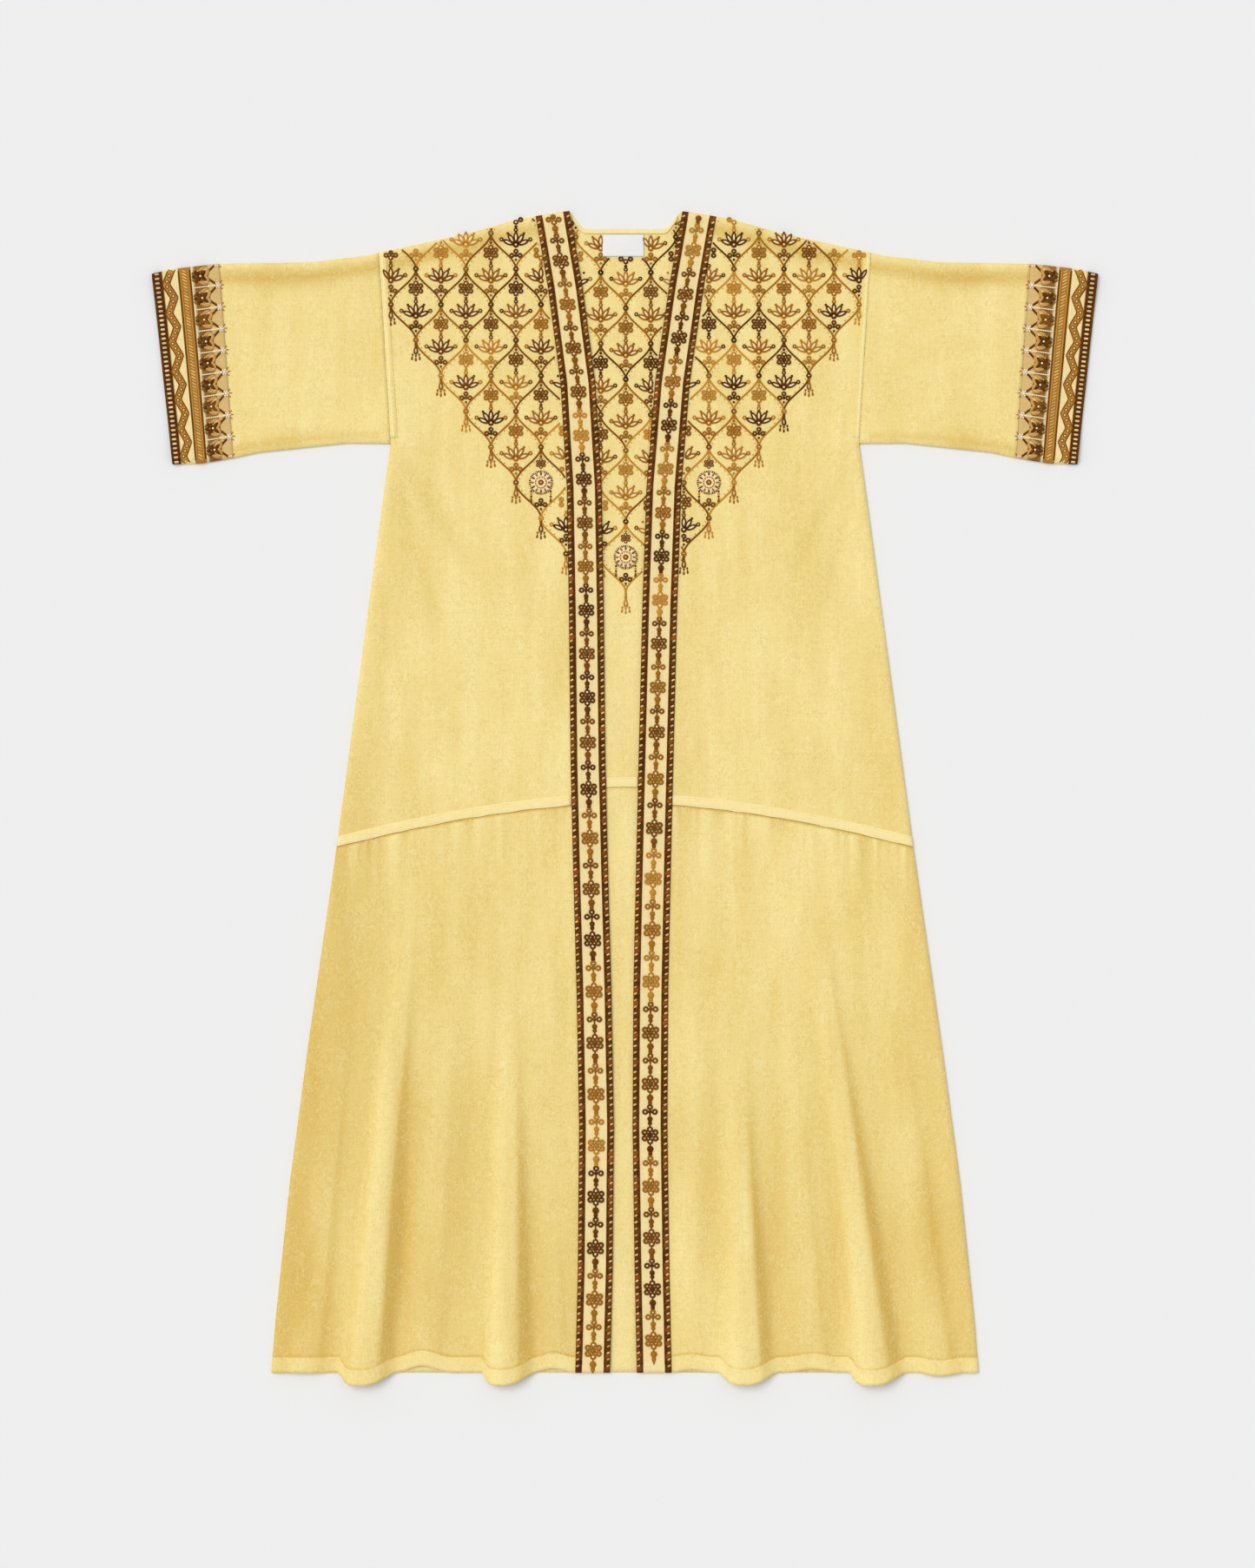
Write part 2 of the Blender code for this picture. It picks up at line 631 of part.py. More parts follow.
def clear_scene():
    for thing in list(bpy.data.objects):
        bpy.data.objects.remove(thing, do_unlink=True)


def main():
    clear_scene()
    back_bodice()
    back_skirt()
    hip_tape_back()
    neck_binding()
    neck_label()
    for side in SIGN:
        front_bodice(side)
        front_skirt(side)
        front_band(side)
        sleeve(side)
        cuff(side)
    for row in MEDALLIONS:
        medallion(row)


main()
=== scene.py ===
"""The looks of an open-front abaya that lies flat, seen from straight above.

Sizes are in metres. As in the solids, heights are measured up the garment from the straight part of its
hem, and Y is that height less the height of the garment's middle. Each side is worked out at positive x and
then put on its own side, so every function of x below takes it as a distance from the centre line.
"""

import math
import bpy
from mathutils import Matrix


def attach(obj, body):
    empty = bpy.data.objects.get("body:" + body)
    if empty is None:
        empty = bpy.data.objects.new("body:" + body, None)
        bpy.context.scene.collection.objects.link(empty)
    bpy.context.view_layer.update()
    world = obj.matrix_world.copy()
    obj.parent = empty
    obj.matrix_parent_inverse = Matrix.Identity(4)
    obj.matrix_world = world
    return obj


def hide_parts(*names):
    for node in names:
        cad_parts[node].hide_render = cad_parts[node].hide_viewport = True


bl_info = {
    "name": "Abaya laid flat",
    "version": (1, 0, 0),
    "blender": (4, 5, 0),
    "location": "View3D > Sidebar > Abaya",
    "description": "Cloth, embroidery and stage for a flat-laid open-front abaya",
    "category": "Object",
}

from collections import namedtuple
from functools import cache
from types import SimpleNamespace as Values

import bpy
import numpy as np
from mathutils import Vector

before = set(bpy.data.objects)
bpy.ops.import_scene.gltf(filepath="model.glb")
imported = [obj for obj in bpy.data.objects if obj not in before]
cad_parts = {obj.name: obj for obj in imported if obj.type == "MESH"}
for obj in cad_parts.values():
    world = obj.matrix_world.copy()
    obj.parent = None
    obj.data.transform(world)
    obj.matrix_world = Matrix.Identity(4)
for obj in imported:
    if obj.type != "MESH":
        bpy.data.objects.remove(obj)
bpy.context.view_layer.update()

# The cut, as in the solids
CLOTH = 0.0014
TRIM = 0.0010
SEAM_GAP = 0.0003
SHOULDER_POINT = 1.371
LOWEST_HEM = -0.0141
MIDDLE = (SHOULDER_POINT + LOWEST_HEM) / 2
UPPER_Z = CLOTH + SEAM_GAP + CLOTH / 2
LOWER_Z = CLOTH / 2
ROLL_WIDTH = 0.006
ROLL_RISE = 0.0028
SETTLE_WIDTH = 0.045
BODY_HALF = 0.417
HIP_HALF = 0.340
UNDERARM_X = 0.276
UNDERARM = 1.096
ARMHOLE_TOP_X = 0.290
CUFF_SEAM_BOTTOM_X = 0.4615
CUFF_SEAM_TOP_X = 0.478
CUFF_END_BOTTOM_X = 0.5335
CUFF_END_TOP_X = 0.558
HIP_FRONT = 0.672
HIP_BACK = 0.691
HIP_SIDE = 0.620
HIP_BEND = 1.7
HEM_TURNING = 0.018
HIP_TAPE_WIDTH = 0.012
ARMHOLE_TAPE_WIDTH = 0.009
ARMHOLE_TAPE_LOW = UNDERARM + 0.006
BACK_TAPE_REACH = (-0.0220, 0.0155)
BAND_CLOTH = 0.0012
BAND_WIDTH = 0.041
BAND_COVERS = 0.001
BAND_EDGING = 0.008
NECK_LOW = 1.349
NECK_FLAT_HALF = 0.046
NECK_HALF = 0.070
NECK_BINDING = 0.0052
NECK_BINDING_HALF = 0.062
LABEL_WIDTH = 0.049
LABEL_DEPTH = 0.026
LABEL_X = -0.002
LABEL_TOP = 1.3428
MEDALLION_RADIUS = 0.014
SIGN = {"left": 1.0, "right": -1.0}
TOWARDS = (-1.0, 1.0)
ENDS = np.array([0.0, 1.0])

# The photograph's frame: its lens centre on the garment and the size of its pixels there
SENSOR = 36.0
PIXEL = 0.001025
PHOTO_HEIGHT = 1806 * PIXEL
PHOTO_CENTRE_X = 0.0031
PHOTO_CENTRE_Y = 0.0159
FLOOR_HALF = 6.0
FLOOR_Z = -0.0002
CAMERA_REACH = 50.0
LAMP_SPREAD = math.radians(36.0)
LAMP_WAY = Vector((0.45, -0.35, -1.0))


def table(fields, *rows):
    """Rows of values that are read by name."""
    row = namedtuple("Row", fields)
    return tuple(row(*values) for values in rows)


SIDE_SEAM = table(
    "x height", (BODY_HALF, 0.000), (0.412, 0.062), (0.395, 0.226), (0.373, 0.390), (HIP_HALF, HIP_SIDE),
    (0.305, 0.882), (0.283, 1.046), (UNDERARM_X, UNDERARM))
SLEEVE_BOTTOM = table(
    "x height", (UNDERARM_X, UNDERARM), (0.329, 1.0965), (0.432, 1.0855), (0.462, 1.079), (0.500, 1.0725),
    (CUFF_END_BOTTOM_X, 1.0715))
SHOULDER = table(
    "x height", (0.060, SHOULDER_POINT), (0.083, 1.368), (0.124, 1.361), (0.184, 1.344), (0.246, 1.3305),
    (0.306, 1.3175), (0.370, 1.310), (0.483, 1.308), (0.534, 1.302), (CUFF_END_TOP_X, 1.2965))
# The inner edge of each front's band
FRONT_BAND = table(
    "height left right", (0.000, 0.0140, 0.0175), (0.120, 0.0115, 0.0145), (0.290, 0.0090, 0.0130),
    (0.450, 0.0100, 0.0160), (0.595, 0.0130, 0.0200), (0.717, 0.0160, 0.0230), (0.902, 0.0205, 0.0250),
    (1.045, 0.0255, 0.0275), (1.168, 0.0355, 0.0350), (1.281, 0.0520, 0.0500),
    (SHOULDER_POINT, 0.0680, 0.0655))
FLUTE_FIELDS = "hem_x top_x top_height inner outer inner_full outer_full rise hem_drop"
FLUTES = {
    "right": table(
        FLUTE_FIELDS,
        (0.085, 0.090, 0.300, 0.024, 0.0220, 2.0, 2.0, 0.0020, -0.0050),
        (0.145, 0.138, 0.480, 0.042, 0.0235, 2.2, 7.0, 0.0140, 0.0135),
        (0.240, 0.205, 0.520, 0.036, 0.0300, 2.0, 2.0, 0.0030, -0.0080),
        (0.312, 0.252, 0.600, 0.044, 0.0250, 2.4, 7.0, 0.0150, 0.0135),
        (0.376, 0.318, 0.560, 0.028, 0.0260, 2.0, 2.0, 0.0040, 0.0000)),
    "left": table(
        FLUTE_FIELDS,
        (0.078, 0.080, 0.300, 0.0240, 0.024, 2.0, 2.0, 0.0020, -0.0035),
        (0.141, 0.128, 0.420, 0.0310, 0.041, 4.0, 2.4, 0.0140, 0.0132),
        (0.222, 0.180, 0.520, 0.0340, 0.030, 2.0, 2.0, 0.0030, -0.0045),
        (0.291, 0.214, 0.600, 0.0255, 0.043, 7.0, 2.4, 0.0150, 0.0135),
        (0.370, 0.300, 0.560, 0.0260, 0.030, 2.0, 2.0, 0.0040, 0.0035)),
}
FLUTE_CROWN = 3.0
FLUTE_TOP_SHARE = 0.45
LARGE_FLUTE = 0.014

# Creases, given one by one: soft troughs where depth is negative and ridges where it is positive
CREASE_FIELDS = "x height end_x end_height width depth"
CREASES = {
    "right": table(
        CREASE_FIELDS,
        (0.262, 1.080, 0.170, 0.930, 0.010, -0.0011), (0.268, 1.050, 0.215, 0.860, 0.008, -0.0008),
        (0.300, 1.120, 0.235, 1.215, 0.012, 0.0010), (0.205, 0.960, 0.190, 0.760, 0.012, 0.0006),
        (0.150, 0.900, 0.135, 0.700, 0.009, -0.0007), (0.240, 0.850, 0.262, 0.680, 0.011, -0.0006),
        (0.105, 0.860, 0.100, 0.720, 0.007, 0.0005), (0.330, 1.283, 0.465, 1.279, 0.013, -0.0014),
        (0.330, 1.110, 0.455, 1.098, 0.010, -0.0012), (0.350, 1.240, 0.440, 1.225, 0.010, -0.0006),
        (0.300, 1.180, 0.400, 1.150, 0.012, 0.0006), (0.365, 0.180, 0.385, 0.040, 0.010, -0.0012),
        (0.270, 0.420, 0.262, 0.060, 0.014, -0.0014), (0.190, 0.460, 0.186, 0.080, 0.013, -0.0012),
        (0.075, 0.500, 0.072, 0.180, 0.009, -0.0007), (0.345, 0.520, 0.355, 0.300, 0.010, 0.0008)),
    "left": table(
        CREASE_FIELDS,
        (0.264, 1.078, 0.180, 0.905, 0.010, -0.0010), (0.270, 1.058, 0.232, 0.885, 0.007, -0.0008),
        (0.302, 1.125, 0.248, 1.230, 0.011, 0.0009), (0.195, 0.940, 0.205, 0.750, 0.010, -0.0007),
        (0.140, 0.910, 0.120, 0.740, 0.012, 0.0006), (0.250, 0.860, 0.275, 0.700, 0.010, 0.0006),
        (0.090, 0.800, 0.095, 0.700, 0.007, -0.0005), (0.325, 1.285, 0.470, 1.281, 0.012, -0.0014),
        (0.340, 1.112, 0.450, 1.100, 0.011, -0.0011), (0.360, 1.205, 0.450, 1.215, 0.010, -0.0006),
        (0.310, 1.160, 0.385, 1.185, 0.010, 0.0006), (0.355, 0.240, 0.375, 0.050, 0.011, -0.0012),
        (0.245, 0.440, 0.250, 0.070, 0.015, -0.0014), (0.105, 0.420, 0.100, 0.090, 0.012, -0.0012),
        (0.170, 0.470, 0.186, 0.120, 0.012, -0.0010), (0.320, 0.540, 0.340, 0.330, 0.010, 0.0008)),
}
DEEP_CREASE = 0.0014
CREASE_FADE = 0.8

# The ripples of the gauze and of its gathers: their share, and how long one is across and up the garment
RIPPLES = table(
    "share across up", (0.55, 0.0085, 0.060), (0.40, 0.045, 0.0095), (0.80, 0.021, 0.026),
    (0.35, 0.0062, 0.014))
GATHERS = table("share across seed_step", (1.0, 0.0055, 2), (0.6, 0.011, 4))
GATHER_FORM = Values(start=0.004, least_reach=0.030, more_reach=0.020, patch=0.012, stretch=0.3, cell=0.2)
# How much of the small ripples is left at a fold, and how far in they are all there
FOLD_RIPPLES = 0.35
FOLD_CALM = 0.012
BACK_RIPPLES = 0.6
BACK_LIFT = 0.0002
HEM_STITCHES = HEM_TURNING - 0.0025
HEM_FORM = Values(
    rise=0.0005, slope=0.0015, slope_start=0.0012, groove=0.00035, groove_width=0.0012, pucker=0.0003,
    pucker_cell=(0.0045, 0.02), pucker_width=0.010, reach=0.05)
EDGING_FORM = Values(rise=0.0006, outer_slope=0.0012, inner_slope=0.0015, inner_start=0.001)

# The place of the yoke's ornament: its lower limit at each distance from the centre line
YOKE_LIMIT = table(
    "x height", (0.000, 0.862), (0.040, 0.885), (0.076, 0.930), (0.105, 1.000), (0.133, 1.022),
    (0.161, 1.052), (0.191, 1.100), (0.219, 1.130), (0.249, 1.180), (0.278, 1.212))
YOKE_REACH = {"front": (0.03, 0.31), "back": (-0.09, 0.09)}
MEDALLIONS = table(
    "name x height", ("medallion_left", 0.099, 1.050), ("medallion_right", -0.099, 1.050),
    ("medallion_back", 0.001, 0.962))

# The rows of a panel: how far from its end they lie where it rolls over, and their shares at a turned hem
ROLLED_STEPS = np.array([0.0, 0.0008, 0.0017, 0.0028, 0.0041, 0.0056, 0.0075, 0.0100])
SKIRT_FRONT = 0.65
HEM_STEPS = np.array([0.0, 0.004, 0.009, 0.0125, 0.0145, 0.0160, 0.0170, 0.0180, 0.0192, 0.0215])
HEM_STEPS /= SKIRT_FRONT
HEM_SHARE = 0.035
# How wide and high the panels are where their rows and columns are spaced
BODICE_SIZE = (0.29, 0.70)
SKIRT_SIZE = (0.40, 0.63)
SLEEVE_LENGTH = 0.188

# The starts of the random draws, so that each run gives the same garment
SEEDS = {
    "crepe": {"left": 10, "right": 20, "back": 30},
    "gathers": {"left": 40, "right": 41},
    "tone": {"left": 90, "right": 91, "back": 92},
    "tape wave": {"left": 55, "right": 56},
    "tape edge": {"left": 57, "right": 58},
    "chain": {"left": 276, "right": 192},
    "yoke": {"left": 510, "right": 520, "back": 530},
    "rope": {"inner": 101, "outer": 102},
    "hem": 70,
    "band": 60,
    "cuff ground": 80,
    "cuff": 300,
    "cuff flowers": 33,
}


def srgb(red, green, blue):
    """A colour given in 0..255 steps of sRGB, as the linear values that materials take."""
    parts = np.array([red, green, blue]) / 255.0
    return tuple(np.where(parts <= 0.04045, parts / 12.92, ((parts + 0.055) / 1.055) ** 2.4))


DARK = srgb(88, 46, 4)
MID = srgb(126, 74, 12)
CARAMEL = srgb(170, 112, 28)
GOLD = srgb(202, 146, 52)
CREAM = srgb(255, 238, 192)
BLUSH = srgb(240, 198, 142)
IVORY = srgb(252, 236, 188)
REDDISH = srgb(140, 70, 20)
OLIVE = srgb(124, 94, 36)
HONEY = srgb(206, 160, 90)
STRAW = srgb(232, 200, 138)
SEWING = srgb(252, 231, 165)
BROWNS = np.array([DARK, MID, CARAMEL, GOLD])


# Sizes and colours that a user would change


def tint(name, description, *colour):
    return bpy.props.FloatVectorProperty(
        name=name, description=description, subtype="COLOR", size=3, min=0, max=1, default=srgb(*colour))


def measure(name, description, default, **limits):
    return bpy.props.FloatProperty(
        name=name, description=description, unit="LENGTH", default=default, **limits)


class ClothSettings(bpy.types.PropertyGroup):
    cotton_light: tint("Cotton, light", "Colour of the gauze on its high threads", 255, 238, 168)
    cotton_deep: tint(
        "Cotton, deep", "Colour of the gauze between its threads and in its folds", 238, 207, 122)
    tape: tint("Tapes", "Colour of the seam tapes and the neck binding", 255, 238, 174)
    label: tint("Label", "Colour of the blank neck label", 244, 243, 243)
    step: measure("Grid step", "Size of one face of the cloth", 0.0042, min=0.002)
    crinkle: measure("Crinkle", "Depth of the gauze's small ripples", 0.00032)
    gather: measure("Gathers", "Depth of the gathers below the hip seam", 0.0009)


class ThreadSettings(bpy.types.PropertyGroup):
    ground: tint("Ground", "Colour of the cloth under the bands' and cuffs' embroidery", 255, 232, 168)
    chain_pitch_low: measure(
        "Chain repeat at the hem", "One repeat of the bands' flower chain at the hem", 0.0605)
    chain_pitch_high: measure(
        "Chain repeat at the chest", "One repeat of the bands' flower chain above the waist", 0.0515)
    rope_pitch: measure("Rope pitch", "Length of one slanted stitch block of the edgings", 0.0077)
    yoke_pitch: measure("Yoke half width", "Half the width of one cell of the yoke's ogee trellis", 0.0295)
    yoke_height: measure("Yoke cell height", "Height of one cell of the yoke's ogee trellis", 0.084)
    cuff_points: bpy.props.IntProperty(
        name="Cuff points", description="Number of pointed tips round the front of each cuff", default=9)


class StageSettings(bpy.types.PropertyGroup):
    floor: tint("Floor", "Colour of the floor", 241, 241, 241)
    lens: bpy.props.FloatProperty(
        name="Lens", description="Focal length of the camera in millimetres", default=90.0)
    sun: bpy.props.FloatProperty(name="Lamp", description="Strength of the large soft lamp", default=1.30)
    sky: bpy.props.FloatProperty(
        name="Sky", description="Strength of the even light from all round", default=0.62)


def cloth_settings():
    return bpy.context.scene.abaya_cloth


def thread_settings():
    return bpy.context.scene.abaya_thread


# Arithmetic of the cut


def ease(t):
    """0 below 0, 1 above 1, and a smooth step between."""
    t = np.clip(t, 0.0, 1.0)
    return t * t * (3.0 - 2.0 * t)


def bell(t):
    """1 at 0, with a smooth fall to 0 on both sides."""
    return np.exp(-(t**2))


def blend(start, end, share):
    return start + (end - start) * share


def steps(count):
    """Even shares from 0 to 1."""
    return np.linspace(0.0, 1.0, count)


def read_table(rows, column, by, at):
    return np.interp(at, [getattr(row, by) for row in rows], [getattr(row, column) for row in rows])


def side_x(height):
    return read_table(SIDE_SEAM, "x", "height", height)


def shoulder_height(x):
    return read_table(SHOULDER, "height", "x", np.abs(x))


def sleeve_bottom_height(x):
    return read_table(SLEEVE_BOTTOM, "height", "x", np.abs(x))


def band_inner(side, height):
    return read_table(FRONT_BAND, side, "height", height)


def armhole_x(height):
    """The armhole seam in plan: a straight line from the underarm to the shoulder."""
    share = (height - UNDERARM) / (shoulder_height(ARMHOLE_TOP_X) - UNDERARM)
    return blend(UNDERARM_X, ARMHOLE_TOP_X, share)


def outer_x(height):
    return np.where(height <= UNDERARM, side_x(height), armhole_x(height))


def hip_height(x, centre):
    """The hip seam in plan: it falls from the centre line to the side by a power of the distance."""
    return centre - (centre - HIP_SIDE) * (np.abs(x) / HIP_HALF) ** HIP_BEND


def neck_height(x):
    """The back's upper edge in plan: a shallow scoop that eases up to the shoulders."""
    rise = ease((np.abs(x) - NECK_FLAT_HALF) / (NECK_HALF - NECK_FLAT_HALF))
    return blend(NECK_LOW, shoulder_height(x), rise)


def line_place(x, height, start, end):
    """The place on a line that is nearest a point, as a share of its length, and how far away it is."""
    run_x, run_h = end[0] - start[0], end[1] - start[1]
    along = ((x - start[0]) * run_x + (height - start[1]) * run_h) / (run_x**2 + run_h**2)
    along = np.clip(along, 0.0, 1.0)
    return along, np.hypot(x - start[0] - along * run_x, height - start[1] - along * run_h)


def edge_distance(x, height):
    """How far a point lies from the garment's outline, but for its hem and its sleeve ends."""
    nearest = 1.0
    for line in (SIDE_SEAM, SLEEVE_BOTTOM, SHOULDER):
        for start, end in zip(line, line[1:]):
            nearest = np.minimum(nearest, line_place(x, height, start, end)[1])
    return nearest


def flute_line(flute, height):
    """How far down a flute a height lies, where its crest runs there, and the share of its width."""
    down = np.clip((flute.top_height - height) / flute.top_height, 0.0, 1.0)
    return down, blend(flute.top_x, flute.hem_x, down), blend(FLUTE_TOP_SHARE, 1.0, down)


def flute_place(flute, x, height):
    """A place across a flute, from -1 at its inner foot to 1 at its outer one, and its growth so far."""
    down, crest, share = flute_line(flute, height)
    width = np.where(x < crest, flute.inner, flute.outer) * share
    return np.clip((x - crest) / width, -1.0, 1.0), ease(down)


def flutes_rise(side, x, height):
    """The sum of the flutes' sections, each grown from nothing at its top.

    A section is the square of 1 less the cube of the place across it.
    """
    total = 0.0
    for flute in FLUTES[side]:
        place, growth = flute_place(flute, x, height)
        total = total + flute.rise * growth * (1.0 - np.abs(place) ** FLUTE_CROWN) ** 2
    return total


def hem_height(side, x):
    """The front hem in plan: straight, but lower where a flute comes down and higher beside it.

    Each dip is the square of 1 less a power of the place across its flute.
    """
    total = 0.0
    for flute in FLUTES[side]:
        place, _ = flute_place(flute, x, 0.0)
        fullness = np.where(place < 0.0, flute.inner_full, flute.outer_full)
        total = total - flute.hem_drop * (1.0 - np.abs(place) ** fullness) ** 2
    return total


# The cells of noise cover the whole garment: how far they start below 0, and how far they reach
NOISE_START = (0.7, 0.05)
NOISE_REACH = (1.5, 1.6)


def noise(x, height, cell_x, cell_height, seed):
    """Random values from -1 to 1 at the corners of cells, with smooth steps between them."""
    columns, rows = int(NOISE_REACH[0] / cell_x) + 3, int(NOISE_REACH[1] / cell_height) + 3
    corners = np.random.default_rng(seed).uniform(-1.0, 1.0, (rows, columns))
    across = (np.asarray(x) + NOISE_START[0]) / cell_x
    up = (np.asarray(height) + NOISE_START[1]) / cell_height
    column = np.clip(across.astype(int), 0, columns - 2)
    row = np.clip(up.astype(int), 0, rows - 2)
    u, v = ease(across - column), ease(up - row)
    low = corners[row, column] * (1 - u) + corners[row, column + 1] * u
    high = corners[row + 1, column] * (1 - u) + corners[row + 1, column + 1] * u
    return low * (1 - v) + high * v


def creases_rise(side, x, height):
    """Each crease is a soft bell across its line, and it fades in and out along it."""
    total = 0.0
    for crease in CREASES[side]:
        along, away = line_place(x, height, crease[:2], crease[2:4])
        total = total + crease.depth * np.sin(np.pi * along) ** CREASE_FADE * bell(away / crease.width)
    return total


def gathers_rise(side, x, height):
    """Fine uneven ripples that hang from the hip seam and die away below it."""
    below = hip_height(x, HIP_FRONT) - height
    seed, form = SEEDS["gathers"][side], GATHER_FORM
    reach = form.least_reach + form.more_reach * noise(x, 0.0 * x, form.patch, 1.0, seed)
    ripple = sum(row.share * noise(x, height * form.stretch, row.across, form.cell, seed + row.seed_step)
                 for row in GATHERS)
    fade = ease(below / form.start) * np.exp(-np.clip(below, 0.0, 1.0) / reach)
    return cloth_settings().gather * ripple * np.where(below > 0, fade, 0.0)


def crinkle_rise(x, height, seed):
    """The gauze's crepe: long ripples along the warp, short ones along the weft and a soft quilting."""
    return cloth_settings().crinkle * sum(
        row.share * noise(x, height, row.across, row.up, seed + step) for step, row in enumerate(RIPPLES))


def hem_rise(side, x, height):
    """The turned hem stands a little proud, with a groove and puckers along its row of stitches."""
    up, form = height - hem_height(side, x), HEM_FORM
    step = form.rise * (1.0 - ease((up - HEM_TURNING + form.slope_start) / form.slope))
    groove = -form.groove * bell((up - HEM_STITCHES) / form.groove_width)
    pucker = form.pucker * noise(x, height, *form.pucker_cell, SEEDS["hem"])
    pucker = pucker * bell((up - HEM_TURNING) / form.pucker_width)
    return np.where(up < form.reach, step + groove + pucker, 0.0)


def upper_z(side, x, height):
    """The middle of the upper layer: the solids' roll and flutes, with creases, gathers and crepe on them.

    The roll rises from the outline as a parabola and eases down again further in.
    """
    distance = edge_distance(x, height)
    roll = 1.0 - (1.0 - np.clip(distance / ROLL_WIDTH, 0.0, 1.0)) ** 2
    settle = ease((distance - ROLL_WIDTH) / SETTLE_WIDTH)
    form = UPPER_Z + ROLL_RISE * (roll - settle) + flutes_rise(side, x, height)
    small = creases_rise(side, x, height) + crinkle_rise(x, height, SEEDS["crepe"][side])
    small = small + gathers_rise(side, x, height)
    return form + small * blend(FOLD_RIPPLES, 1.0, ease(distance / FOLD_CALM)) + hem_rise(side, x, height)


def upper_top(side):
    """The outer face of the upper layer, as a function of a point on that side."""
    return lambda x, height: upper_z(side, x, height) + CLOTH / 2


def back_top(x, height):
    """The inner face of the back, which shows between the fronts: level, with the gauze's ripples."""
    return CLOTH + BACK_RIPPLES * crinkle_rise(x, height, SEEDS["crepe"]["back"]) + BACK_LIFT


def band_height_over(across):
    """How far the band's cloth stands up at a distance from its inner edge.

    Each edging eases up from the band's edge and down again towards the chain.
    """
    near, form = np.minimum(across, BAND_WIDTH - across), EDGING_FORM
    fall = ease((near - BAND_EDGING + form.inner_start) / form.inner_slope)
    return form.rise * ease(near / form.outer_slope) * (1.0 - fall)


def band_top(side):
    """The outer face of a front band, as a function of a point on that side."""

    def top(x, height):
        over = band_height_over(x - band_inner(side, height))
        return upper_z(side, x, height) + CLOTH / 2 + SEAM_GAP + BAND_CLOTH + over

    return top


# Meshes from whole arrays


def panel(bottom, top, inner_edge, outer_edge, across, up, heights=None):
    """A panel's Coons surface: its two ruled surfaces' sum less the bilinear surface of its corners.

    It lies between a lower and an upper line, each a start, an end and its height at each x, and the two
    edges that run up between their ends.
    """

    def line(start, end, height_at, share):
        x = blend(start, end, share)
        return np.stack([x, height_at(x)], axis=1)

    starts, ends = heights or (line(*bottom, ENDS)[:, 1], line(*top, ENDS)[:, 1])
    rising = [blend(start, end, up) for start, end in zip(starts, ends)]
    near, far = (np.stack([x_at(height), height], axis=1)[:, None]
                 for x_at, height in zip((inner_edge, outer_edge), rising))
    low, high = line(*bottom, across)[None], line(*top, across)[None]
    u, v = (share[..., None] for share in np.meshgrid(across, up))
    corners = (1 - v) * ((1 - u) * low[:, :1] + u * low[:, -1:])
    corners = corners + v * ((1 - u) * high[:, :1] + u * high[:, -1:])
    flat = (1 - v) * low + v * high + (1 - u) * near + u * far - corners
    return flat[..., 0], flat[..., 1]


def shares(length, rolled=True):
    """Shares of a length at the cloth's grid step, closer together where its end rolls over."""
    end = 1.0 - ROLLED_STEPS[::-1] / length if rolled else ENDS[1:]
    count = max(int(end[0] * length / cloth_settings().step), 2)
    return np.concatenate([np.linspace(0.0, end[0], count), end[1:]])


def row_points(x, height, z):
    """Points in the shared frame, from their places on the garment and their heights over the ground."""
    return np.stack(np.broadcast_arrays(x, height - MIDDLE, z), axis=-1)


def closed(index):
    """A grid of point numbers whose last column meets its first."""
    return np.concatenate([index, index[:, :1]], axis=1)


def grid_quads(index):
    """The faces between the rows and columns of a grid of point numbers."""
    corners = [index[:-1, :-1], index[:-1, 1:], index[1:, 1:], index[1:, :-1]]
    return np.stack(corners, axis=-1).reshape(-1, 4)


def make_object(name, replaces, side, points, faces, materials, thread=None, tone=None, indices=None):
    """One mesh object at the origin, mirrored to its own side, with its colours as attributes."""
    points = np.array(points) * (SIGN[side], 1.0, 1.0)
    if side == "right":
        faces = [face[::-1] for face in faces]
    mesh = bpy.data.meshes.new(name)
    mesh.from_pydata(points.tolist(), [], faces)
    for material in materials:
        mesh.materials.append(material)
    if indices is not None:
        mesh.polygons.foreach_set("material_index", indices)
    mesh.shade_smooth()
    if thread is not None:
        rgba = np.column_stack([thread, np.ones(len(thread))]).astype(np.float32)
        mesh.attributes.new("thread", "FLOAT_COLOR", "POINT").data.foreach_set("color", rgba.ravel())
    # A float of painted shade and highlight together with the cloth's own tone, which the cotton's material
    # reads
    if tone is not None:
        mesh.attributes.new("tone", "FLOAT", "POINT").data.foreach_set("value", tone.astype(np.float32))
    mesh.validate()
    thing = bpy.data.objects.new(name, mesh)
    bpy.context.scene.collection.objects.link(thing)
    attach(thing, "root")
    if replaces:
        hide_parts(replaces)
    return thing


def cloth_object(name, replaces, slot, side, outside, inside, ring=False, material=None, thread=None,
                 tone=None):
    """A closed wall of cloth between two grids of points, with its outer face's colours on both."""
    rows, columns = outside.shape[:2]
    index = np.arange(rows * columns).reshape(rows, columns)
    index = closed(index) if ring else index
    rims = [index[0, ::-1], index[-1]] + ([] if ring else [index[:, 0], index[::-1, -1]])
    faces = [grid_quads(index), grid_quads(index)[:, ::-1] + rows * columns]
    for rim in rims:
        under = rim + rows * columns
        faces.append(np.stack([rim[:-1], rim[1:], under[1:], under[:-1]], axis=1))
    if thread is not None:
        thread = np.tile(np.broadcast_to(thread, outside.shape).reshape(-1, 3), (2, 1))
    if tone is not None:
        tone = np.tile(np.broadcast_to(tone, (rows, columns)).ravel(), 2)
    points = np.concatenate([outside.reshape(-1, 3), inside.reshape(-1, 3)])
    faces = np.concatenate(faces).tolist()
    materials = [material or CLOTH_OF_SLOT[slot]()]
    return make_object(name, replaces, side, points, faces, materials, thread, tone)


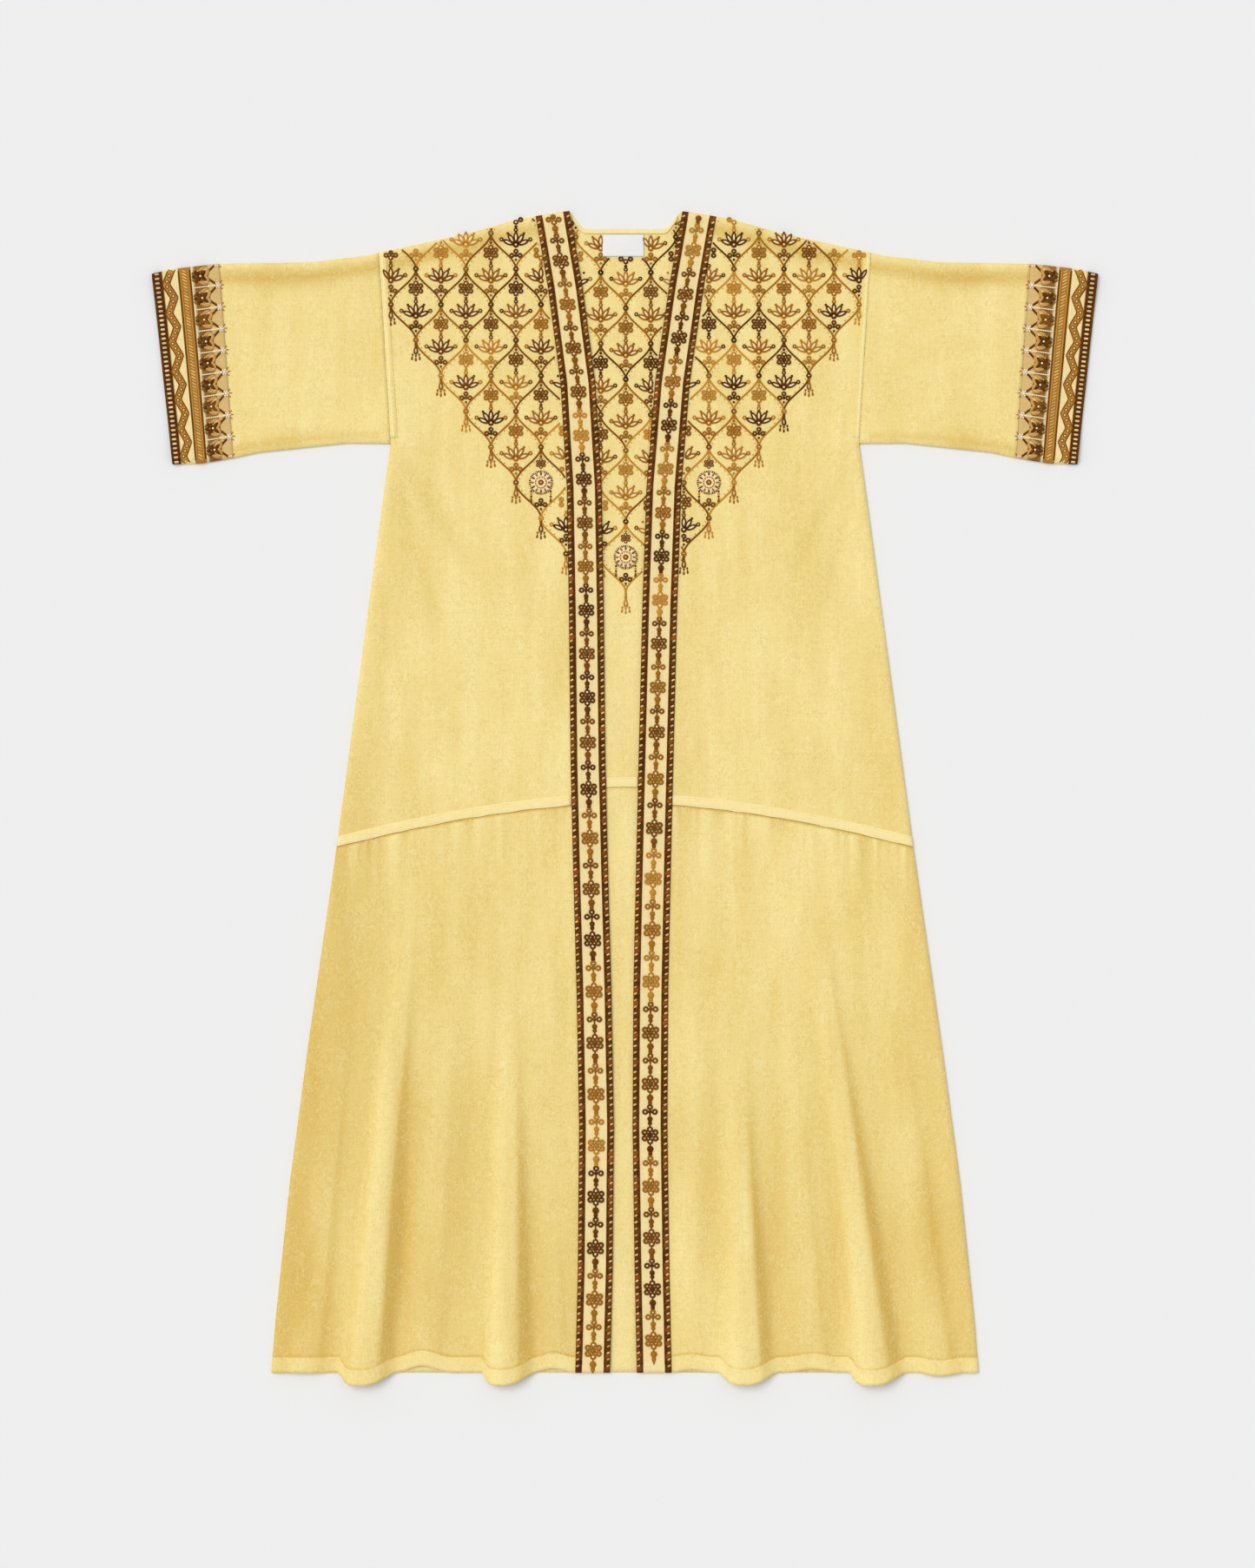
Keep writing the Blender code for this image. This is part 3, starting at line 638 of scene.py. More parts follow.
def sheet_object(name, replaces, slot, side, x, height, top, thickness, **looks):
    """A sheet of cloth with the given outer face and an even thickness below it."""
    outside = row_points(x, height, top)
    return cloth_object(name, replaces, slot, side, outside, outside - (0.0, 0.0, thickness), **looks)


# A box of small shapes for embroidery. Each lies on its own flat side. They are about one unit in radius,
# but the blocks of the edgings and the cuffs are drawn in millimetres.

Shape = namedtuple("Shape", "points quads tris")
MILLIMETRE = 0.001
PAD_POINT = 1.04


def turns(count):
    """Angles at even steps once round."""
    return np.linspace(0.0, 2 * np.pi, count, endpoint=False)


def around(x, height, radius, turn):
    """Places at a distance from a point, in the directions given."""
    return x + radius * np.cos(turn), height + radius * np.sin(turn)


def pad(outline, *steps):
    """A raised pad: its outline drawn in to each step's share at that step's height, up to a top point."""
    count = len(outline)
    rings = [np.column_stack([outline * share, np.full(count, rise)]) for share, rise in steps]
    points = np.concatenate([*rings, [[*outline.mean(axis=0), steps[-1][1] * PAD_POINT]]])
    index = np.arange(count * len(rings)).reshape(-1, count)
    first, last = index[0], index[-1]
    top = np.stack([last, np.roll(last, -1), np.full(count, len(points) - 1)], axis=1)
    under = np.stack([np.zeros(count - 2, int), first[2:], first[1:-1]], axis=1)
    return Shape(points, grid_quads(closed(index)), np.concatenate([top, under]))


def round_outline(count):
    return np.column_stack([np.cos(turns(count)), np.sin(turns(count))])


def leaf_outline(count, slim):
    """An almond along its second axis: an ellipse drawn in at its ends by a power of the sine."""
    turn = turns(count)
    return np.column_stack([slim * np.cos(turn) * (1 - 0.45 * np.sin(turn) ** 4), np.sin(turn)])


def drop_outline(count, slim):
    """A drop with its point up: an ellipse drawn in towards it by a power of the half turn's sine."""
    turn = turns(count)
    return np.column_stack([slim * np.sin(turn) * np.sin(turn / 2) ** 1.4, np.cos(turn)])[::-1]


def block_outline(count, half_width, half_height, slant=0.0):
    """A rounded parallelogram: a circle squared up by powers of its sine and cosine, then sheared."""
    turn = turns(count) + np.pi / count
    x = np.sign(np.cos(turn)) * np.abs(np.cos(turn)) ** 0.45 * half_width
    y = np.sign(np.sin(turn)) * np.abs(np.sin(turn)) ** 0.45 * half_height
    return np.column_stack([x, y + slant * x])


def loop_shape(outline, sides, tube):
    """A closed tube of thread carried along an outline, with its lower side just in the cloth."""
    way = np.roll(outline, -1, axis=0) - np.roll(outline, 1, axis=0)
    way /= np.linalg.norm(way, axis=1, keepdims=True)
    outward = np.column_stack([way[:, 1], -way[:, 0]])
    plan = outline[:, None, :] + outward[:, None, :] * (tube * (np.cos(turns(sides)) - 1.0))[None, :, None]
    height = np.broadcast_to(tube * (0.6 + np.sin(turns(sides))), plan.shape[:2])
    index = np.arange(height.size).reshape(-1, sides)
    index = closed(np.concatenate([index, index[:1]]))
    points = np.concatenate([plan, height[..., None]], axis=-1).reshape(-1, 3)
    return Shape(points, grid_quads(index)[:, [0, 3, 2, 1]], np.zeros((0, 3), int))


LOW_STEPS = ((1.0, -0.05), (0.88, 0.16), (0.50, 0.27))
RUNG_STEPS = ((1.0, -0.1), (0.85, 0.45), (0.5, 0.65))
BEAD = pad(round_outline(8), (1.0, -0.15), (0.93, 0.36), (0.56, 0.72))
DISC = pad(round_outline(10), *LOW_STEPS)
LEAF = pad(leaf_outline(10, 0.36), *LOW_STEPS)
WIDE_LEAF = pad(leaf_outline(10, 0.50), *LOW_STEPS)
DROP = pad(drop_outline(12, 0.62), *LOW_STEPS)
EDGE_BLOCK = {
    side: pad(block_outline(10, 3.1, 2.75, 0.30 * SIGN[side]), (1.0, -0.2), (0.90, 0.62), (0.5, 0.92))
    for side in SIGN
}
DASH = pad(block_outline(8, 2.1, 1.15), (1.0, -0.1), (0.85, 0.60), (0.5, 0.85))
RUNG = pad(block_outline(8, 2.75, 1.35), *RUNG_STEPS)
HATCH = pad(block_outline(8, 3.5, 0.95), *RUNG_STEPS)
STRAIGHT_BLOCK = pad(block_outline(8, 1.0, 0.66), (1.0, -0.10), (0.88, 0.30), (0.5, 0.44))
STITCH = pad(block_outline(6, 0.26, 1.0), (1.0, -0.08), (0.85, 0.14), (0.5, 0.20))
PADDED_DISC = pad(
    round_outline(40), (1.0, -0.05), (1.0, 0.055), (0.94, 0.085), (0.62, 0.09), (0.56, 0.135), (0.30, 0.15))
RING = loop_shape(round_outline(12), 5, 0.33)
THIN_RING = loop_shape(round_outline(14), 5, 0.18)
PETAL_LOOP = loop_shape(leaf_outline(16, 0.40), 4, 0.15)
DROP_LOOP = loop_shape(drop_outline(16, 0.66), 4, 0.17)
CORD_SIDES = np.linspace(0.0, np.pi, 5)
CORD_SUNK = 0.00015


def anywhere(x, _):
    return np.ones(np.shape(x), bool)


class Needlework:
    """Many small shapes laid on one face of the garment and joined into one mesh."""

    def __init__(self, top, allowed=None, whole=None):
        """The face to lay on, where a shape's middle may lie, and where all of it must lie."""
        self.top = top
        self.allowed, self.whole = allowed or anywhere, whole or anywhere
        self.points, self.colours = [], []
        self.faces, self.gloss = {4: [], 3: []}, {4: [], 3: []}
        self.count = 0

    def join(self, x, height, rise, colours, quads, tris, gloss=False):
        """Adds points that stand above the cloth under them, and faces numbered from the first of them."""
        self.points.append(row_points(x, height, self.top(x, height) + rise).reshape(-1, 3))
        self.colours.append(colours)
        for faces in (quads, tris):
            corners = faces.shape[-1]
            self.faces[corners].append(faces.reshape(-1, corners) + self.count)
            self.gloss[corners].append(np.full(faces.size // corners, gloss, np.int32))
        self.count += x.size

    def put(self, shape, x, height, size, colour, turn=0.0, rise=1.0, gloss=False, lift=0.0):
        """Copies of a shape at arrays of places, each turned, scaled and laid on the cloth under it."""
        parts = np.broadcast_arrays(*np.atleast_1d(x, height, size, turn))
        colour = np.broadcast_to(colour, (*parts[0].shape, 3)).reshape(-1, 3)
        x, height, size, turn = (part.reshape(-1, 1) for part in parts)
        across, along, up = shape.points.T[:, None, :] * size
        place_x = x + np.cos(turn) * across - np.sin(turn) * along
        place_h = height + np.sin(turn) * across + np.cos(turn) * along
        keep = self.allowed(x, height).all(axis=1) & self.whole(place_x, place_h).all(axis=1)
        if keep.any():
            start = len(shape.points) * np.arange(keep.sum())[:, None, None]
            colours = np.repeat(colour[keep], len(shape.points), axis=0)
            self.join(place_x[keep], place_h[keep], lift + up[keep] * rise, colours,
                      shape.quads + start, shape.tris + start, gloss)

    def spray(self, shape, x, height, radius, way, size, colour, **looks):
        """Copies of a shape at a distance from each place, in the directions given, pointing outwards."""
        self.put(shape, *around(x, height, radius, way), size, colour, way - np.pi / 2, **looks)

    def cord(self, x, height, radius, colour, rise=1.0, lift=0.0):
        """A couched cord: a low round profile carried along a path on the cloth, and closed at its ends."""
        x, height = np.asarray(x, float), np.asarray(height, float)
        kept = np.flatnonzero(self.allowed(x, height) & self.whole(x, height))
        if len(kept) < 2:
            return
        x, height = x[kept[0]:kept[-1] + 1], height[kept[0]:kept[-1] + 1]
        along = np.column_stack([np.gradient(x), np.gradient(height)])
        along /= np.linalg.norm(along, axis=1, keepdims=True)
        across, up = np.cos(CORD_SIDES) * radius, np.sin(CORD_SIDES) * radius * 0.9 * rise - CORD_SUNK
        place_x, place_h = x[:, None] + along[:, 1:] * across, height[:, None] - along[:, :1] * across
        index = np.arange(place_x.size).reshape(place_x.shape)
        first, last = index[0], index[-1]
        quads = np.concatenate([grid_quads(closed(index)), [first[3::-1], last[:4]]])
        tris = np.array([first[[4, 3, 0]], last[[0, 3, 4]]])
        self.join(place_x, place_h, lift + up, np.tile(colour, (place_x.size, 1)), quads, tris)

    def finish(self, name, side="left", slot="embroidery", replaces=None):
        faces = [face for corners in (4, 3) for face in np.concatenate(self.faces[corners]).tolist()]
        gloss = np.concatenate(self.gloss[4] + self.gloss[3])
        points, colours = np.concatenate(self.points), np.concatenate(self.colours)
        materials = [thread_material(), bead_material()]
        return make_object(name, replaces, side, points, faces, materials, colours, indices=gloss)


# Materials


class Nodes:
    """A material's node tree, with one call for a node, its settings and its links."""

    def __init__(self, name):
        self.material = bpy.data.materials.new(name)
        self.material.use_nodes = True
        self.tree = self.material.node_tree
        self.shader = self.tree.nodes["Principled BSDF"]
        self.object = self.tree.nodes.new("ShaderNodeTexCoord").outputs["Object"]

    def feed(self, node, inputs):
        """Links a node's inputs or sets their values. A colour is given without its opacity."""
        for key, value in inputs.items():
            socket = node.inputs[key]
            if isinstance(value, bpy.types.NodeSocket):
                self.tree.links.new(value, socket)
            else:
                socket.default_value = (*value, 1.0) if socket.type == "RGBA" else value

    def add(self, kind, inputs, **settings):
        node = self.tree.nodes.new("ShaderNode" + kind)
        for key, value in settings.items():
            setattr(node, key, value)
        self.feed(node, inputs)
        return node

    def attribute(self, name, output):
        return self.add("Attribute", {}, attribute_name=name).outputs[output]

    def noise(self, scale, detail=2.0, roughness=0.5, distortion=0.0):
        """Noise in the garment's own frame, finer along the axes with the larger scale."""
        place = self.add("Mapping", {"Vector": self.object, "Scale": scale}).outputs[0]
        form = {"Detail": detail, "Roughness": roughness, "Distortion": distortion}
        return self.add("TexNoise", {"Vector": place, "Scale": 1.0, **form}).outputs["Fac"]

    def math(self, operation, *values):
        return self.add("Math", dict(enumerate(values)), operation=operation).outputs[0]

    def scaled(self, value, share, plus=0.0):
        return self.math("MULTIPLY_ADD", value, share, plus)

    def mix(self, share, first, second):
        return self.add("Mix", {0: share, 6: first, 7: second}, data_type="RGBA").outputs[2]

    def ramp(self, value, low, high):
        """0 at low and below, 1 at high and above."""
        return self.add("MapRange", {"Value": value, "From Min": low, "From Max": high}).outputs[0]

    def crepe_lines(self):
        """Curly ridges and furrows of overtwisted yarn, from -1 to 1: sines along a noise's contours."""
        total = 0.0
        for scale, twist, waves in (((140.0, 104.0, 1.0), 0.7, 24.0), ((220.0, 150.0, 1.0), 0.5, 16.0)):
            level = self.scaled(self.noise(scale, 0.0, 0.5, twist), waves)
            total = self.math("ADD", total, self.math("SINE", level))
        worn = self.ramp(self.noise((46.0, 34.0, 1.0)), 0.34, 0.62)
        return self.math("MULTIPLY", total, self.scaled(worn, 0.35, 0.15))

    def weave(self, fine=900.0, slub=95.0):
        """The cloth's weave as one height: uneven warp and weft threads, slubs along each, and crepe."""
        kinds = (
            ((fine, slub, 1.0), 1.0), ((slub, fine, 1.0), 1.0), ((380.0, 24.0, 1.0), 2.0),
            ((24.0, 380.0, 1.0), 2.0), ((230.0, 170.0, 1.0), 3.0, 0.6, 1.2))
        total = 0.0
        for kind in kinds:
            total = self.scaled(self.noise(*kind), 1.0 / len(kinds), total)
        return total

    def bump(self, height, strength, distance):
        node = self.add("Bump", {"Height": height, "Strength": strength, "Distance": distance})
        self.tree.links.new(node.outputs[0], self.shader.inputs["Normal"])

    def finish(self, colour, roughness, specular, sheen=0.0, sheen_colour=(1.0, 1.0, 1.0), **more):
        looks = {"Base Color": colour, "Roughness": roughness, "Specular IOR Level": specular}
        sheens = {"Sheen Weight": sheen, "Sheen Roughness": 0.5, "Sheen Tint": sheen_colour}
        self.feed(self.shader, {**looks, **sheens, **more})
        return self.material


@cache
def cotton_material():
    """Butter-yellow gauze: deep between its threads and lighter on slubs.

    An attribute paints shade in its folds and highlights on their crests, and the crepe lines carry painted
    highlights on their ridges and painted shade in their furrows.
    """
    nodes, cloth = Nodes("crinkled_cotton"), cloth_settings()
    weave, crepe = nodes.weave(), nodes.crepe_lines()
    patches = nodes.ramp(nodes.noise((13.0, 8.0, 1.0), 3.0), 0.34, 0.66)
    streaks = nodes.ramp(nodes.noise((34.0, 5.0, 1.0)), 0.35, 0.66)
    broad = nodes.scaled(streaks, 0.33, nodes.scaled(patches, 0.20, 0.07))
    share = nodes.scaled(nodes.ramp(weave, 0.43, 0.57), 0.27, broad)
    tone = nodes.attribute("tone", "Fac")
    colour = nodes.mix(share, cloth.cotton_deep, cloth.cotton_light)
    # Painted shade toward a deeper yellow where the attribute is over 0.5, painted highlight toward the
    # light colour under it
    colour = nodes.mix(nodes.ramp(tone, 0.5, 1.0), colour, srgb(224, 188, 98))
    colour = nodes.mix(nodes.ramp(tone, 0.5, 0.0), colour, cloth.cotton_light)
    # Painted highlights on the crepe ridges and painted shade in their furrows
    colour = nodes.mix(nodes.scaled(nodes.ramp(crepe, 0.0, 1.0), 0.25), colour, srgb(255, 246, 188))
    colour = nodes.mix(nodes.scaled(nodes.ramp(crepe, 0.0, -1.0), 0.22), colour, srgb(206, 168, 84))
    nodes.bump(nodes.scaled(crepe, 0.08, weave), 1.0, 0.0014)
    return nodes.finish(colour, 0.9, 0.08, 0.05, srgb(255, 240, 180))


@cache
def tape_material():
    """Paler, smoother cotton tape with a fine rib along it."""
    nodes = Nodes("tape_cotton")
    weave = nodes.weave(1100.0, 160.0)
    colour = nodes.mix(nodes.ramp(weave, 0.38, 0.62), srgb(248, 224, 152), cloth_settings().tape)
    nodes.bump(weave, 0.5, 0.0006)
    return nodes.finish(colour, 0.85, 0.2, 0.12, srgb(255, 244, 208))


@cache
def label_material():
    """Blank white woven satin, with a faint rib across it."""
    nodes = Nodes("label_satin")
    rib = nodes.noise((60.0, 2600.0, 1.0), 1.0)
    nodes.bump(rib, 0.4, 0.0003)
    return nodes.finish(nodes.mix(rib, srgb(232, 231, 230), cloth_settings().label), 0.45, 0.4, 0.1)


@cache
def ground_material():
    """The closely woven ground under the embroidery, in the colours that its attribute gives."""
    nodes = Nodes("worked_ground")
    weave, thread = nodes.weave(1300.0, 240.0), nodes.attribute("thread", "Color")
    darker = nodes.add("HueSaturation", {"Color": thread, "Value": 0.84}).outputs[0]
    nodes.bump(weave, 0.5, 0.0006)
    colour = nodes.mix(nodes.ramp(weave, 0.62, 0.40), thread, darker)
    return nodes.finish(colour, 0.8, 0.2, 0.04, srgb(255, 240, 200))


@cache
def thread_material():
    """Twisted cotton and silk thread: nearly matt, with fine lay lines and uneven dye."""
    nodes = Nodes("embroidery_thread")
    lay, dye = nodes.noise((1500.0, 1500.0, 600.0), 1.0, 0.5, 1.5), nodes.noise((160.0, 160.0, 160.0))
    share = nodes.scaled(nodes.ramp(nodes.math("ADD", lay, dye), 0.85, 1.25), 0.16)
    nodes.bump(lay, 0.5, 0.0005)
    colour = nodes.mix(share, nodes.attribute("thread", "Color"), srgb(206, 140, 44))
    return nodes.finish(colour, 0.65, 0.06, 0.01, srgb(255, 206, 130))


@cache
def bead_material():
    """Small glazed beads in pale and gilt tones."""
    nodes = Nodes("small_beads")
    share = nodes.scaled(nodes.ramp(nodes.noise((700.0, 700.0, 700.0)), 0.3, 0.8), 0.25)
    colour = nodes.mix(share, nodes.attribute("thread", "Color"), srgb(255, 240, 214))
    return nodes.finish(colour, 0.35, 0.35, **{"Coat Weight": 0.2, "Coat Roughness": 0.2})


@cache
def floor_material():
    """Pale matt studio floor with a barely uneven surface."""
    nodes = Nodes("studio_floor")
    nodes.bump(nodes.noise((40.0, 40.0, 40.0)), 0.02, 0.001)
    return nodes.finish(bpy.context.scene.abaya_stage.floor, 0.95, 0.05)


CLOTH_OF_SLOT = {
    "cotton": cotton_material, "tape": tape_material, "label": label_material,
    "embroidery": ground_material}


# Cloth pieces

SEWN_ROWS = (0.0022, 0.0098)
ARMHOLE_ROWS = (0.0016, 0.0074)
TAPE_FEET = 0.0001
# A flute's painted shade and painted highlight, at places across it that are 0 at its crest and 1 at its
# foot
FLUTE_SHADE = Values(
    growth=1.3, crest=-0.20, crest_width=0.50, pale=0.45, start=0.36, slope=0.24, deep=0.80, foot=0.62,
    foot_width=0.14, foot_deep=0.30, near=0.35, far=1.8, near_share=0.6, farthest=9.0)
# A front's painted shade and highlight, with the gauze's own tone: where each kind lies or how wide it is,
# and then how much each weighs in the tone. All but the patches, the skirt's depth and the doubled hem are
# painted shade or painted highlight.
SHADE_AND_TONE = Values(
    plain=0.46, beyond_edge=0.60, side_reach=0.12, skirt_full=0.45, skirt_reach=0.40, roll=0.016,
    roll_width=0.009, fold=0.009, fold_width=0.005, fold_start=0.01, patch=(0.055, 0.11),
    palest_ridge=-0.4, seam=0.0016, seam_width=0.0013, hem_share=0.5, hem_plus=0.10, hip_width=0.0022)
WEIGHTS = {
    "side": 0.08, "skirt side shade": {"left": 0.06, "right": 0.26}, "shade under roll": 0.44, "shade above fold": 0.25,
    "patches": 0.07, "creases": 0.175, "skirt": 0.10, "flutes": 0.55, "shadow above hem": 0.35, "hip seam": 0.55,
    "gathers": 0.30,
}
BACK_TONE = Values(plain=0.40, patches=0.10, patch=(0.05, 0.12))


def flute_shadow(side, flute, x, height):
    """Painted shade where a flute's slack flank meets the cloth, fading beyond; a painted highlight on its
    crest.
    """
    down, crest, share = flute_line(flute, height)
    slack, full = (flute.outer, flute.inner) if side == "left" else (flute.inner, flute.outer)
    away = (x - crest) * SIGN[side]
    place, shade = away / (np.where(away > 0, slack, full) * share), FLUTE_SHADE
    beyond = np.clip(place - shade.foot, 0.0, shade.farthest)
    fade = blend(np.exp(-beyond / shade.far), np.exp(-beyond / shade.near), shade.near_share)
    deep = shade.deep * ease((place - shade.start) / shade.slope) * fade
    deep = deep + shade.foot_deep * bell((place - shade.foot) / shade.foot_width)
    pale = shade.pale * bell((place - shade.crest) / shade.crest_width)
    return ease(down * shade.growth) * (deep - pale)


def side_tone(side, x, height):
    """Painted shade and highlight on the gauze, with its own tone: 0.5 leaves the gauze its own colour, 1
    gives its deepest colour and 0 its palest.

    It is painted shade towards the side seams, where the cloth falls away, together with the deeper colour
    of the doubled layers there. It is painted shade under the roll along the shoulder and sleeve, above the
    sleeve's lower fold, in creases, at the flutes' feet, in the gathers' troughs and in the shadows of the
    hip tape and the hem's turning. It carries painted highlights on the flutes' crests, the creases' ridges
    and the gathers' peaks. It is also deeper down the skirt, uneven in patches, and paler along the doubled
    hem.
    """
    edge = np.where(height <= UNDERARM, side_x(height), SHADE_AND_TONE.beyond_edge)
    skirt = 1.0 - ease((height - SHADE_AND_TONE.skirt_full) / SHADE_AND_TONE.skirt_reach)
    side_shade = 1.0 - ease((edge - x) / SHADE_AND_TONE.side_reach)
    on_sleeve = x > UNDERARM_X + SHADE_AND_TONE.fold_start
    fold = height - sleeve_bottom_height(x) - SHADE_AND_TONE.fold
    # Each kind below is painted shade, with painted highlights on crease ridges and flute crests, but for
    # the random patches and the skirt's depth
    shades = {
        "side": side_shade,
        "shade under roll": bell((shoulder_height(x) - height - SHADE_AND_TONE.roll) / SHADE_AND_TONE.roll_width),
        "shade above fold": bell(fold / SHADE_AND_TONE.fold_width) * on_sleeve,
        "patches": noise(x, height, *SHADE_AND_TONE.patch, SEEDS["tone"][side]),
        "creases": np.clip(-creases_rise(side, x, height) / DEEP_CREASE, SHADE_AND_TONE.palest_ridge, 1.0),
        "skirt": skirt,
        "flutes": sum(flute_shadow(side, flute, x, height) * min(flute.rise / LARGE_FLUTE, 1.0)
                      for flute in FLUTES[side]),
    }
    tone = SHADE_AND_TONE.plain + WEIGHTS["skirt side shade"][side] * side_shade * skirt
    tone = tone + sum(WEIGHTS[name] * shade for name, shade in shades.items())
    up = height - hem_height(side, x)
    # Painted shadow of the hem's turned edge, just above it; the doubled hem itself is paler
    seam = WEIGHTS["shadow above hem"] * bell((up - HEM_TURNING - SHADE_AND_TONE.seam) / SHADE_AND_TONE.seam_width)
    tone = np.where(up < HEM_TURNING, tone * SHADE_AND_TONE.hem_share + SHADE_AND_TONE.hem_plus, tone)
    tone = tone + np.where(up < HEM_FORM.reach, seam, 0.0)
    # Painted shadow of the hip tape on the skirt, just below the hip seam
    below_hip = hip_height(x, HIP_FRONT) - height
    tone = tone + np.where(below_hip > 0, WEIGHTS["hip seam"] * bell(below_hip / SHADE_AND_TONE.hip_width), 0.0)
    # Painted highlights on the gathers' peaks and painted shade in their troughs
    gathers = gathers_rise(side, x, height) / cloth_settings().gather
    return np.clip(tone - WEIGHTS["gathers"] * gathers, 0.0, 1.0)


def front_panel(name, side, bottom, top, outer_edge, across, up):
    """A front's cloth, lifted by the upper layer's lie.

    Its lower and upper lines start under the band, at the height given first, and run out to the x given
    next. The last value gives their height at each x.
    """

    def inner_edge(at_height):
        return band_inner(side, at_height) + BAND_COVERS

    lines = [(inner_edge(start), end, height_at) for start, end, height_at in (bottom, top)]
    x, height = panel(*lines, inner_edge, outer_edge, across, up)
    return sheet_object(
        f"{name}_cloth_{side}", f"front_{name}_{side}", "cotton", side, x, height,
        upper_top(side)(x, height), CLOTH, tone=side_tone(side, x, height))


def front_bodice(side):
    """From the hip seam up to the shoulder, and out to the side seam and the armhole."""
    hip = (HIP_FRONT, HIP_HALF, lambda x: hip_height(x, HIP_FRONT) + SEAM_GAP / 3)
    shoulder = (SHOULDER_POINT, ARMHOLE_TOP_X, shoulder_height)
    return front_panel("bodice", side, hip, shoulder, outer_x, *map(shares, BODICE_SIZE))


def front_skirt(side):
    """From the dipping hem up to the hip seam, with its rows close together at the turned hem."""
    hem = (0.0, BODY_HALF, lambda x: hem_height(side, x))
    hip = (HIP_FRONT, HIP_HALF, lambda x: hip_height(x, HIP_FRONT) - SEAM_GAP / 3)
    up = np.concatenate([HEM_STEPS, blend(HEM_SHARE, 1.0, shares(SKIRT_SIZE[1], rolled=False))])
    return front_panel("skirt", side, hem, hip, side_x, shares(SKIRT_SIZE[0]), up)


def stitches(name, side, top, rows, slot="tape", pitch=0.0034, length=0.0024, colour=SEWING):
    """Rows of stitches at an even pitch, each along a path of points on one face."""
    work = Needlework(top)
    for x, height in rows:
        travelled = np.concatenate([[0.0], np.cumsum(np.hypot(np.diff(x), np.diff(height)))])
        places = np.arange(pitch / 2, travelled[-1], pitch)
        at = np.array([places, places + pitch / 4])
        along, up = np.interp(at, travelled, x), np.interp(at, travelled, height)
        turn = np.arctan2(up[1] - up[0], along[1] - along[0]) - np.pi / 2
        work.put(STITCH, along[0], up[0], length / 2, colour, turn)
    return work.finish(name, side, slot)


def grooves(place, rows, width):
    """How far rows of stitches draw a tape in, at a place across it."""
    return sum(bell((place - row) / width) for row in rows)


TAPE_LIE = Values(crown=0.0003, groove=0.00008, groove_width=0.0012, thinning=0.0006, thin_width=0.0022,
                  wave=0.00026, wave_cell=(0.007, 0.02), wander=0.0006, wander_cell=(0.013, 1.0))


def hip_tape(side):
    """A strip along the hip seam, laid on the bodice, and the two rows of stitches that hold it.

    Across it, the strip's height is half a sine wave, less a bell at each row and a slope to its upper edge.
    """
    start = band_inner(side, HIP_FRONT) + BAND_WIDTH + SEAM_GAP
    x = blend(start, HIP_HALF - 0.0004, shares(0.28))[None, :]
    rise = np.array([0.0, 0.0008, 0.0022, 0.0045, 0.0075, 0.0098, 0.0112, HIP_TAPE_WIDTH])[:, None]
    form = TAPE_LIE
    wander = form.wander * noise(x, 0.0 * x, *form.wander_cell, SEEDS["tape edge"][side])
    wander = wander * (1.0 - ease(rise / 0.0045))
    height = hip_height(x, HIP_FRONT) + SEAM_GAP / 2 + rise + wander
    x = np.minimum(x, side_x(height) - 0.0002)
    lie = form.crown * np.sin(np.pi * rise / HIP_TAPE_WIDTH)
    lie = lie - form.groove * grooves(rise, SEWN_ROWS, form.groove_width)
    lie = lie - form.thinning * ease((rise - SEWN_ROWS[1]) / form.thin_width)
    lie = lie + form.wave * noise(x, height, *form.wave_cell, SEEDS["tape wave"][side])
    over = SEAM_GAP + TRIM * 0.85
    piece = sheet_object("hip_tape_cloth_" + side, "hip_tape_" + side, "tape", side, x, height,
                         upper_top(side)(x, height) + over + lie, TRIM)
    line = np.linspace(start + 0.001, HIP_HALF - 0.003, 80)
    rows = [(line, hip_height(line, HIP_FRONT) + row) for row in SEWN_ROWS]
    return piece, stitches(
        "hip_stitches_" + side, side, lambda at, h: upper_top(side)(at, h) + over + 0.0001, rows)


def armhole_tape(side):
    """A strip beside the armhole seam, which eases down to the cloth at its edges, and its stitches."""
    low, high = ARMHOLE_TAPE_LOW, float(shoulder_height(ARMHOLE_TOP_X - ARMHOLE_TAPE_WIDTH))

    def top(x, height):
        from_seam = armhole_x(height) - x
        full = ease((ARMHOLE_TAPE_WIDTH + 0.0002 - from_seam) / 0.0034) * ease((height - low) / 0.006)
        full = full * (0.3 + 0.7 * ease(from_seam / 0.0024))
        return upper_top(side)(x, height) + TAPE_FEET + (SEAM_GAP + TRIM * 0.6 - TAPE_FEET) * full

    height = blend(low, high, shares(high - low))[:, None]
    inset = np.linspace(ARMHOLE_TAPE_WIDTH, 0.0002, 9)[None, :]
    x = armhole_x(height) - inset
    height = np.minimum(height, shoulder_height(x))
    piece = sheet_object("armhole_tape_cloth_" + side, "armhole_tape_" + side, "tape", side, x, height,
                         top(x, height) - 0.00025 * grooves(inset, ARMHOLE_ROWS, 0.0009), TRIM * 0.55,
                         material=cotton_material(), tone=np.where(inset < 0.004, 0.0, 0.42))
    line = np.linspace(low + 0.002, high - 0.002, 60)
    return piece, stitches(
        "armhole_stitches_" + side, side, lambda at, h: top(at, h) - 0.00005,
        [(armhole_x(line) - row, line) for row in ARMHOLE_ROWS], colour=srgb(250, 229, 160))


